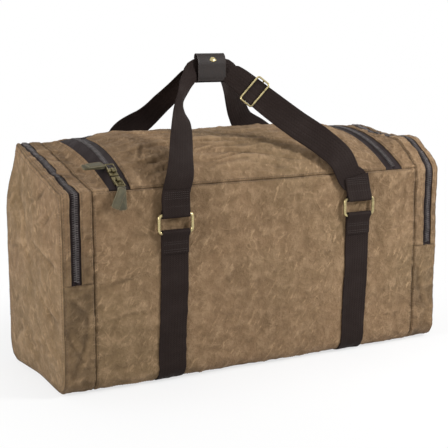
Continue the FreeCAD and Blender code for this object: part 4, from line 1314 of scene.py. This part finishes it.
def ribbon(path, across, widths, cup=0.0, wave=0.0):
    """Webbing along a path, with its width along `across`."""
    path = np.asarray(path, float)
    widths, cup = np.broadcast_to(widths, len(path)), np.broadcast_to(cup, len(path))
    along = unit(np.gradient(path, axis=0))
    across = unit(across - along * np.sum(across * along, axis=1, keepdims=True))
    out = np.cross(across, along)
    run = distances(path)[:, None]
    u = np.array(WEB_EDGES)
    sideways = u * widths[:, None] / 2
    bend = wave * cloth_noise(run / 40, sideways / 30 + 7, 31) - cup[:, None] * u**2
    half = WEB / 2 * np.array(WEB_ROUND)
    base = path[:, None, :] + across[:, None, :] * sideways[..., None]
    outer, inner = (base + out[:, None, :] * (bend + way * half)[..., None] for way in (1, -1))
    marks = stacked(sideways, run)
    return slab(outer, inner, marks, np.broadcast_to(web_tone(u), marks.shape[:2]))


RING_MIDDLE = sum(corners("front_left_ring"))[2] / 2
BAR_Y = sum(corners("back_left_ring"))[1] / 2
BAR_RISE = (corners("front_left_ring")[1] - corners("front_left_ring")[0])[2] / 2 - 2.75
LOWER_BAR, UPPER_BAR = RING_MIDDLE - BAR_RISE, RING_MIDDLE + BAR_RISE
LOOP = 4.3
STRAP_LEAN = 6.0
STITCH_INSET = 3.0


def round_bar(height, way):
    """Half a turn of webbing round a ring's bar, upwards (1) or downwards (-1), as rows of (y, z)."""
    turns = np.linspace(0, math.pi, 13)
    return [(BAR_Y - way * LOOP * math.cos(turn), height + way * LOOP * math.sin(turn)) for turn in turns]


def bar_stitches(x, y, heights):
    """Level rows of stitches across webbing whose outer face is at y."""
    places = np.linspace(-1, 1, 12) * (STRAP_HALF - STITCH_INSET)
    out = np.repeat([[0, math.copysign(1, y), 0]], len(places), axis=0)
    return [(stacked(x + places, y, height), out) for height in heights]


def strap_round(middle):
    """A body strap under the bag and up its walls."""
    reach, back_reach = wall(LOWER_BAR - 14), rear(LOWER_BAR - 14) - ROUND
    ends = np.linspace(back_reach, -FLAT - 30, 60), np.linspace(FLAT + 30, reach, 60)
    s = np.concatenate([ends[0], np.linspace(-FLAT - 28, FLAT + 28, 70), ends[1]])
    s, u = np.meshgrid(s, np.array(WEB_EDGES), indexing="ij")
    x = middle - STRAP_LEAN * window(s, 0, FLAT, wall(60), wall(230)) + u * STRAP_HALF
    half = WEB / 2 * np.array(WEB_ROUND)
    lift = 1.3 + 0.25 * cloth_noise(s / 60, x / 30, 33) - 0.6 * ramp(FLAT - np.abs(s), -10, 20)
    outer, inner = on_bag(s, x, lift + half), on_bag(s, x, lift - half)
    return slab(outer, inner, stacked(u * STRAP_HALF, s), web_tone(u))


def make_body_straps():
    for name, middle in (("left", LEFT_STRAP), ("right", RIGHT_STRAP)):
        parts, rows = [strap_round(middle)], []
        for way in (-1, 1):
            face = BACK_Y if way > 0 else -FRONT_Y
            path = [(face + 1.2, LOWER_BAR - 24), (face + 1.35, LOWER_BAR - 12)] + round_bar(LOWER_BAR, 1)
            for out, drop in ((5.5, 7), (4.1, 14), (3.8, 22), (3.8, 35.5)):
                path.append((face + out, LOWER_BAR - drop))
            line = np.array([(middle, way * y, z) for y, z in path])
            parts.append(ribbon(line, np.repeat([[-way, 0, 0]], len(line), axis=0), 2 * STRAP_HALF))
            heights = [LOWER_BAR - drop for drop in (16, 19.5, 29, 32.5)]
            rows += bar_stitches(middle, way * (face + 5.15), heights)
        webbing = [finish("webbing")]
        make_mesh(f"{name}_body_webbing", parts, webbing, "shell", [f"{name}_body_strap"])
        sew(f"{name}_strap_stitches", "webbing", rows, "shell")


GRIP = corners("grip_wrap")
GRIP_X = (GRIP[0][0], GRIP[1][0])
GRIP_Z = (GRIP[0][2] + GRIP[1][2]) / 2 + 1.25
GRIP_REACH = 1.0
GRIP_WIDTH = 32.0
GRIP_Y = 1.5
UPRIGHT = 22.0
LEAN = 0.2
# Share of the way sideways, share of the way up, width and roll from ring to grip
ROUTES = {
    "front": (
        (
            (0.09, 0.0, 50, 0), (0.28, 0.28, 47, 4), (0.42, 0.49, 43, 12),
            (0.53, 0.67, 34, 40), (0.73, 0.84, 32, 20), (0.9, 0.945, 33, 6),
        ),
        (
            (0.10, -0.18, 50, 0), (0.19, 0.03, 50, 0), (0.32, 0.215, 50, 0), (0.505, 0.4, 50, 0),
            (0.705, 0.627, 49, 0), (0.88, 0.85, 44, 0), (0.96, 0.945, 39, 0),
        ),
    ),
    "back": (
        (
            (0.03, -0.5, 50, 0), (0.14, -0.19, 48, 0), (0.53, 0.08, 44, 0),
            (0.72, 0.42, 41, 0), (0.87, 0.76, 35, 0), (0.95, 0.92, 33, 0),
        ),
        (
            (0.03, -0.75, 50, 0), (0.13, -0.47, 50, 0), (0.29, -0.24, 50, 0), (0.45, -0.06, 50, 0),
            (0.585, 0.19, 48, 0), (0.73, 0.49, 45, 0), (0.89, 0.78, 36, 0), (0.97, 0.93, 33, 0),
        ),
    ),
}


def smooth_path(points, step=4.0):
    """Even samples of a soft curve through rows of numbers whose first three are a place."""
    points = np.asarray(points, float)
    run = distances(points[:, :3])
    slope = np.zeros_like(points)
    slope[1:-1] = (points[2:] - points[:-2]) / (run[2:] - run[:-2])[:, None]
    slope[0] = (points[1] - points[0]) / (run[1] - run[0])
    slope[-1] = (points[-1] - points[-2]) / (run[-1] - run[-2])
    at = np.linspace(0, run[-1], int(run[-1] / step) + 1)
    k = np.clip(np.searchsorted(run, at, side="right") - 1, 0, len(run) - 2)
    length = (run[k + 1] - run[k])[:, None]
    t = (at - run[k])[:, None] / length
    ahead = 3 * t**2 - 2 * t**3
    leaving, arriving = (t**3 - 2 * t**2 + t) * length, (t**3 - t**2) * length
    return (1 - ahead) * points[k] + leaving * slope[k] + ahead * points[k + 1] + arriving * slope[k + 1]


def slant_of(face, x):
    """Sideways lean of a handle's foot, for each millimetre up."""
    return LEAN if face == "front" and x > 0 else 0.0


def half_handle(face, side, ring_x, grip_x, route):
    """Rows of x, y, z, width and roll from a ring to the grip."""
    root = side * BAR_Y
    upright = (FRONT_SEAM if side < 0 else BACK_SEAM) + UPRIGHT
    rows = [(ring_x - slant_of(face, ring_x) * rise, root, UPPER_BAR + rise, 50, 0) for rise in (10, 30)]
    for sideways, upwards, width, roll in route:
        z = upright + (GRIP_Z - upright) * upwards
        if z >= UPPER_BAR + 36:
            y = root + (side * GRIP_Y - root) * max(upwards, 0.0)
            rows.append((ring_x + (grip_x - ring_x) * sideways, y, z, width, roll))
    return rows + [(grip_x, side * GRIP_Y, GRIP_Z, GRIP_WIDTH, 0)]


def handle_foot(face, side, middle, way):
    """Path, width directions and widths of a handle's end, doubled round its ring."""
    flat = [(BAR_Y + 2.5, 41), (BAR_Y + 2.5, 26), (BAR_Y + 2.6, 16), (BAR_Y + 3.6, 7)]
    loop = [(y, UPPER_BAR + rise) for y, rise in flat] + round_bar(UPPER_BAR, -1)
    loop.append((BAR_Y - 2.4, UPPER_BAR + 5))
    slant = slant_of(face, middle)
    line = np.array([(middle - slant * max(z - UPPER_BAR, 0.0), side * y, z) for y, z in loop])
    return line, np.repeat([[way, 0, 0]], len(line), axis=0), np.full(len(line), 50.0)


def make_handle(face, side):
    left_route, right_route = ROUTES[face]
    rows = half_handle(face, side, LEFT_STRAP, GRIP_X[0] - GRIP_REACH, left_route)
    rows += half_handle(face, side, RIGHT_STRAP, GRIP_X[1] + GRIP_REACH, right_route)[::-1]
    run = smooth_path(rows)
    along = unit(np.gradient(run[:, :3], axis=0))
    facing = unit(np.array([0.0, 1.0, 0.0]) - along * along[:, 1:2])
    roll = np.radians(run[:, 4:5])
    across = np.cross(facing, along) * np.cos(roll) + facing * np.sin(roll)
    left = handle_foot(face, side, LEFT_STRAP, 1.0)
    right = [part[::-1] for part in handle_foot(face, side, RIGHT_STRAP, -1.0)]
    body = (run[:, :3], across, run[:, 3])
    path, across, width = (np.concatenate(parts) for parts in zip(left, body, right))
    cup = -side * 4.0 * ramp(50 - width, 4, 16) * (1 - 0.85 * (np.abs(path[:, 2] - GRIP_Z) < 4))
    handle = f"{face}_handle"
    web = ribbon(path, across, width, cup, 0.35)
    make_mesh(f"{handle}_webbing", [web], [finish("webbing")], handle, [handle])
    rows = []
    for middle in (LEFT_STRAP, RIGHT_STRAP):
        for rise in (14, 27, 30.5, 34, 37.5):
            place = middle - slant_of(face, middle) * rise
            rows += bar_stitches(place, side * (BAR_Y + 2.5 + WEB / 2), [UPPER_BAR + rise])
    sew(f"{handle}_stitches", "webbing", rows, handle)


# ---------------------------------------------------------------- grip and slide


GRIP_THICK = 2.2


def leather_sheet(profile, x_span, bulge=1.0):
    """Leather along X over a profile of (y, z) places, its outer face on the profile, and its stitch rows."""
    profile = np.asarray(profile, float)
    rows = smooth_path(np.column_stack([np.zeros(len(profile)), profile]), 1.6)[:, 1:]
    along = unit(np.gradient(rows, axis=0))
    run = distances(rows)[:, None]
    x = spaced(*x_span, 2.5)
    edge = np.minimum(x - x_span[0], x_span[1] - x)
    end = np.minimum(run, run[-1] - run)
    fall = 0.9 * (1 - ramp(edge, 0, 2.2)) + 0.9 * (1 - ramp(end, 0, 2.2)) + 0.35 * bell(edge, 4, 0.8)
    puff = bulge * arch((x - x_span[0]) / (x_span[1] - x_span[0])) * arch(run / run[-1])
    lump = 0.35 * cloth_noise(x / 14, run / 12, 41)
    lift = puff + lump - fall
    base = stacked(x, rows[:, :1], rows[:, 1:])
    out = stacked(0 * x, -along[:, 1:], along[:, :1])
    outer = base + out * lift[..., None]
    inner = base + out * (np.minimum(lift, 0) * 0.3 - GRIP_THICK)[..., None]
    tone = 0.8 * (1 - ramp(edge, 0.4, 2.0)) + 0.8 * (1 - ramp(end, 0.4, 2.0)) + 0.3 * lump
    seams = [int(np.argmin(np.abs(x - place))) for place in (x_span[0] + 4, x_span[1] - 4)]
    return slab(outer, inner, stacked(x, run), tone), [(outer[3:-3, j], out[3:-3, j]) for j in seams]


# Share of the radius and share of the height, from the snap's foot over its rolled rim to its dome
SNAP_PROFILE = (
    (1.0, -0.8), (1.04, 0.0), (1.0, 0.3), (0.9, 0.38), (0.84, 0.3),
    (0.76, 0.45), (0.6, 0.75), (0.35, 0.95), (0.12, 1.0),
)


def snap_part(centre, out, radius, height):
    """Domed snap cap with a rolled rim."""
    first = np.array([1.0, 0, 0])
    second = np.cross(out, first)
    turns = np.linspace(0, 2 * math.pi, 40, endpoint=False)[:, None]
    circle = radius * (np.cos(turns) * first + np.sin(turns) * second)
    rings = [centre + circle * share + out * height * lift for share, lift in SNAP_PROFILE]
    points, faces = capped_rings(rings, centre - out * height * 0.8, centre + out * height)
    return points, faces, points[:, [0, 2]], 0.0


SNAP_TILT = math.radians(42)
SNAP_RADIUS, SNAP_HEIGHT = 7.6, 2.2


def make_grip():
    low, high = corners("grip_wrap")
    reach, roof = high[1], corners("grip_flap")[1][2]
    span = (low[0] - 0.2, high[0] + 0.2)
    wrap = (
        (-3.6, low[2] + 0.4),
        (0, low[2] - 0.2),
        (4.2, low[2] + 0.6),
        (reach + 0.2, low[2] + 4),
        (reach + 0.6, (low[2] + high[2]) / 2),
        (reach + 0.1, high[2] - 1),
    )
    flap = (
        (reach + 0.6, high[2] - 3.5),
        (reach - 0.4, roof - 1.0),
        (reach - 3.5, roof + 0.4),
        (1.6, roof + 0.2),
        (-1.4, roof - 1.6),
        (-reach + 0.9, roof - 7.5),
        (-reach - 0.9, roof - 14),
        (-reach - 0.8, (low[2] + roof) / 2),
        (-reach - 0.4, low[2] + 8),
        (-reach + 0.6, low[2] + 1.0),
    )
    for node, body, profile, bulge in (
        ("grip_wrap", "back_handle", wrap, 0.8),
        ("grip_flap", "grip_flap", flap, 1.0),
    ):
        part, rows = leather_sheet(profile, span, bulge)
        make_mesh(f"{node}_leather", [part], [finish("leather")], body, [node], sharp=70)
        sew(f"{node}_stitches", "grip", rows, body)
    centre = np.array([sum(corners("grip_snap"))[0] / 2 + 2, -reach + 1.2, roof - 6.0])
    out = np.array([0, -math.cos(SNAP_TILT), math.sin(SNAP_TILT)])
    snap = snap_part(centre, out, SNAP_RADIUS, SNAP_HEIGHT)
    make_mesh("grip_snap_cap", [snap], [finish("brass")], "grip_flap", ["grip_snap"], sharp=60)


def tube_part(path, radius, out, closed=False, sides=12):
    """Round wire along a path that lies flat across `out`."""
    path = np.asarray(path, float)
    if closed:
        along = unit(np.roll(path, -1, axis=0) - np.roll(path, 1, axis=0))
    else:
        along = unit(np.gradient(path, axis=0))
    normal = unit(out - along * (along @ out)[:, None])
    other = np.cross(along, normal)
    turns = np.linspace(0, 2 * math.pi, sides, endpoint=False)[:, None]
    ring = radius * (np.cos(turns) * normal[:, None, :] + np.sin(turns) * other[:, None, :])
    points = (path[:, None, :] + ring).reshape(-1, 3)
    faces = grid_faces(len(path), sides, close_rows=closed, close_columns=True)
    if not closed:
        faces.append(tuple(range(sides))[::-1])
        faces.append(tuple(range(len(points) - sides, len(points))))
    return points, faces, points[:, [0, 2]], 0.0


SLIDE_LENGTH = 28.0
SLIDE_HALF_WIDTH = 26.8
SLIDE_DEPTH = 3.05


def make_slide():
    """The brass slide on the front handle's right half."""
    route = ROUTES["front"][1]
    upright = FRONT_SEAM + UPRIGHT
    ends = []
    for sideways, upwards, _, _ in (route[5], route[4]):
        x = RIGHT_STRAP + (GRIP_X[1] + GRIP_REACH - RIGHT_STRAP) * sideways
        y = -BAR_Y + (BAR_Y - GRIP_Y) * upwards
        ends.append(np.array([x, y, upright + (GRIP_Z - upright) * upwards]))
    centre, run = (ends[0] + ends[1]) / 2, unit(ends[1] - ends[0])
    normal = unit(run * run[1] - np.array([0, 1.0, 0]))
    wide = np.cross(normal, run)
    outline = rounded(SLIDE_LENGTH / 2 - 1.5, SLIDE_HALF_WIDTH, 4.0, 6)
    frame_path = centre + outline[:, :1] * run + outline[:, 1:] * wide + normal * SLIDE_DEPTH * 0.9
    half = SLIDE_HALF_WIDTH
    bar = ((-half, 1), (-half, 0), (1.5 - half, -1), (0, -1), (half - 1.5, -1), (half, 0), (half, 1))
    bar_path = [centre + wide * across + normal * SLIDE_DEPTH * share for across, share in bar]
    parts = [tube_part(frame_path, 1.7, normal, True, 14), tube_part(bar_path, 1.6, run)]
    make_mesh("brass_slide", parts, [finish("brass")], "front_handle", ["strap_adjuster"], sharp=50)


def make_rings():
    for face in ("front", "back"):
        for name, _ in SIDES:
            dress(f"{face}_{name}_ring", "brass")


# ---------------------------------------------------------------- stage


CAMERA_PLACE = (-0.903, -1.665, 0.584)
CAMERA_TURN = (math.pi / 2 - 0.183, 0.0, -0.489)
CAMERA_LENS = 84.6
WHITE = (1.0, 1.0, 1.0, 1.0)
FLOOR_COLOUR = (0.86, 0.86, 0.86, 1.0)
FLOOR_HALF = 6.0
WORLD_LEVEL = 0.30
# Place, size in metres and power in watts
LIGHTS = {
    "front_light": ((1.2, -1.0, 1.1), 0.45, 29),
    "top_light": ((-0.5, 0.4, 2.2), 1.1, 7),
    "left_light": ((-2.4, -0.5, 0.95), 0.7, 37),
}
LIGHT_AIM = (0, 0, 0.2)


def floor_finish():
    """Matt floor that keeps the shadow and fades to white away from the bag."""
    material = bpy.data.materials.new("pale_floor")
    material.use_nodes = True
    material.node_tree.nodes.clear()
    make = Wiring(material.node_tree)
    place = make.add("ShaderNodeTexCoord").outputs["Object"]
    away = make.add("ShaderNodeVectorMath", {0: place}, operation="LENGTH").outputs["Value"]
    share = make.math("MULTIPLY", make.seen(), make.between(away, 0.25, 0.7, 0.68, 1.0))
    matt = make.add("ShaderNodeBsdfDiffuse", {"Color": FLOOR_COLOUR}).outputs[0]
    white = make.add("ShaderNodeEmission", {"Color": WHITE}).outputs[0]
    mix = make.add("ShaderNodeMixShader", {0: share, 1: matt, 2: white}).outputs[0]
    make.add("ShaderNodeOutputMaterial", {0: mix})
    return material


def make_world(level):
    """Plain light from all sides, white where the camera, gloss or glass sees it."""
    world = bpy.data.worlds.new("studio")
    bpy.context.scene.world = world
    world.use_nodes = True
    make = Wiring(world.node_tree)
    background = make.nodes["Background"]
    make.set(background.inputs["Color"], WHITE)
    make.set(background.inputs["Strength"], make.between(make.seen(), 0.0, 1.0, level, 1.0))


def place_in_scene(name, data):
    thing = bpy.data.objects.new(name, data)
    bpy.context.scene.collection.objects.link(thing)
    return thing


def add_light(name, place, size, power):
    data = bpy.data.lights.new(name, "AREA")
    data.shape, data.size, data.energy = "DISK", size, power
    lamp = place_in_scene(name, data)
    lamp.location = place
    lamp.rotation_euler = (Vector(LIGHT_AIM) - Vector(place)).to_track_quat("-Z", "Y").to_euler()


def make_stage():
    mesh = bpy.data.meshes.new("studio_floor")
    square = [(x * FLOOR_HALF, y * FLOOR_HALF, 0) for x, y in ((-1, -1), (1, -1), (1, 1), (-1, 1))]
    mesh.from_pydata(square, [], [(0, 1, 2, 3)])
    mesh.materials.append(floor_finish())
    floor = place_in_scene("studio_floor", mesh)
    make_world(WORLD_LEVEL)
    for name, settings in LIGHTS.items():
        add_light(name, *settings)
    data = bpy.data.cameras.new("studio_camera")
    data.lens = CAMERA_LENS
    camera = place_in_scene("studio_camera", data)
    camera.location = CAMERA_PLACE
    camera.rotation_euler = CAMERA_TURN
    bpy.context.scene.camera = camera
    bpy.context.scene.view_settings.view_transform = "Standard"


# ---------------------------------------------------------------- add-on


def colour(name, description, value):
    return bpy.props.FloatVectorProperty(
        name=name, description=description, subtype="COLOR", size=4, min=0.0, max=1.0, default=(*value, 1.0)
    )


class DuffelShape(bpy.types.PropertyGroup):
    """How full and how creased the bag is."""

    crease_depth: bpy.props.FloatProperty(
        name="Crease depth",
        description="Strength of the folds and creases",
        default=1.0,
        min=0.0,
        max=2.0,
        subtype="FACTOR",
    )
    wall_bulge: bpy.props.FloatProperty(
        name="Wall bulge",
        description="How far the filled walls stand out",
        default=0.0065,
        unit="LENGTH",
        subtype="DISTANCE",
    )
    top_bulge: bpy.props.FloatProperty(
        name="Top bulge",
        description="How far the filled lid stands up",
        default=0.015,
        unit="LENGTH",
        subtype="DISTANCE",
    )


class DuffelColours(bpy.types.PropertyGroup):
    """Colours of the bag's cloths, leathers and metals."""

    canvas: colour("Canvas", "Main tone of the canvas", (0.258, 0.160, 0.085))
    # Canvas shade also colours the painted shade in creases and seams, and Canvas wear the painted highlight
    # on ridges, besides the patches.
    canvas_dark: colour("Canvas shade", "Darker patches of the canvas", (0.168, 0.104, 0.052))
    canvas_light: colour("Canvas wear", "Rubbed patches of the canvas", (0.405, 0.272, 0.155))
    canvas_green: colour("Canvas drift", "Greener patches of the canvas", (0.215, 0.152, 0.075))
    webbing: colour("Webbing", "Straps and handles", (0.0152, 0.0092, 0.0076))
    leather: colour("Grip leather", "Dark leather of the grip", (0.019, 0.0135, 0.0115))
    tab: colour("Tab leather", "Leather tabs of the pulls", (0.094, 0.084, 0.05))
    brass: colour("Brass", "Rings, sliders and slide", (0.515, 0.429, 0.223))
    tape: colour("Zip tape", "Tape beside the teeth", (0.0145, 0.0092, 0.0092))
    teeth: colour("Zip teeth", "Metal of the teeth", (0.1, 0.084, 0.082))
    lining: colour("Lining", "Cloth inside the bag", (0.09, 0.075, 0.055))


class DUFFEL_OT_main_canvas(bpy.types.Operator):
    """Sew the front, back, bottom, top and shoulder canvas"""

    bl_idname = "duffel.main_canvas"
    bl_label = "Main canvas"

    def execute(self, context):
        make_main_canvas()
        return {"FINISHED"}


class DUFFEL_OT_end_pockets(bpy.types.Operator):
    """Sew the bands and the panels of the two end pockets"""

    bl_idname = "duffel.end_pockets"
    bl_label = "End pockets"

    def execute(self, context):
        make_end_bands()
        make_ends()
        return {"FINISHED"}


class DUFFEL_OT_inside(bpy.types.Operator):
    """Line the dividers and cover the board"""

    bl_idname = "duffel.inside"
    bl_label = "Inside"

    def execute(self, context):
        make_inside()
        return {"FINISHED"}


class DUFFEL_OT_zips(bpy.types.Operator):
    """Lay the tapes and set the teeth of all three zips"""

    bl_idname = "duffel.zips"
    bl_label = "Zips"

    def execute(self, context):
        make_main_zip()
        make_pocket_zips()
        return {"FINISHED"}


class DUFFEL_OT_pulls(bpy.types.Operator):
    """Finish the sliders and sew the leather pull tabs"""

    bl_idname = "duffel.pulls"
    bl_label = "Sliders and pulls"

    def execute(self, context):
        make_pulls()
        return {"FINISHED"}


class DUFFEL_OT_straps(bpy.types.Operator):
    """Wrap the body straps and finish the rings"""

    bl_idname = "duffel.straps"
    bl_label = "Straps and rings"

    def execute(self, context):
        make_body_straps()
        make_rings()
        return {"FINISHED"}


class DUFFEL_OT_handles(bpy.types.Operator):
    """Sweep the two webbing handles and the brass slide"""

    bl_idname = "duffel.handles"
    bl_label = "Handles"

    def execute(self, context):
        make_handle("front", -1)
        make_handle("back", 1)
        make_slide()
        return {"FINISHED"}


class DUFFEL_OT_grip(bpy.types.Operator):
    """Shape the leather grip and its snap"""

    bl_idname = "duffel.grip"
    bl_label = "Grip"

    def execute(self, context):
        make_grip()
        return {"FINISHED"}


class DUFFEL_OT_stage(bpy.types.Operator):
    """Set the floor, the lights and the camera"""

    bl_idname = "duffel.stage"
    bl_label = "Stage"

    def execute(self, context):
        make_stage()
        return {"FINISHED"}


OPERATORS = (
    DUFFEL_OT_main_canvas,
    DUFFEL_OT_end_pockets,
    DUFFEL_OT_inside,
    DUFFEL_OT_zips,
    DUFFEL_OT_pulls,
    DUFFEL_OT_straps,
    DUFFEL_OT_handles,
    DUFFEL_OT_grip,
    DUFFEL_OT_stage,
)


class DUFFEL_PT_panel(bpy.types.Panel):
    """Sidebar panel with the bag's settings and steps"""

    bl_label = "Canvas Duffel Bag"
    bl_idname = "DUFFEL_PT_panel"
    bl_space_type = "VIEW_3D"
    bl_region_type = "UI"
    bl_category = "Duffel"

    def draw(self, context):
        for group in (context.scene.duffel_shape, context.scene.duffel_colours):
            column = self.layout.column()
            for key in group.__annotations__:
                column.prop(group, key)
        for operator in OPERATORS:
            self.layout.operator(operator.bl_idname)


CLASSES = (DuffelShape, DuffelColours, *OPERATORS, DUFFEL_PT_panel)


def register():
    for item in CLASSES:
        bpy.utils.register_class(item)
    bpy.types.Scene.duffel_shape = bpy.props.PointerProperty(type=DuffelShape)
    bpy.types.Scene.duffel_colours = bpy.props.PointerProperty(type=DuffelColours)


def unregister():
    del bpy.types.Scene.duffel_colours
    del bpy.types.Scene.duffel_shape
    for item in reversed(CLASSES):
        bpy.utils.unregister_class(item)


def main():
    register()
    for operator in OPERATORS:
        group, name = operator.bl_idname.split(".")
        getattr(getattr(bpy.ops, group), name)()


if __name__ == "__main__":
    main()
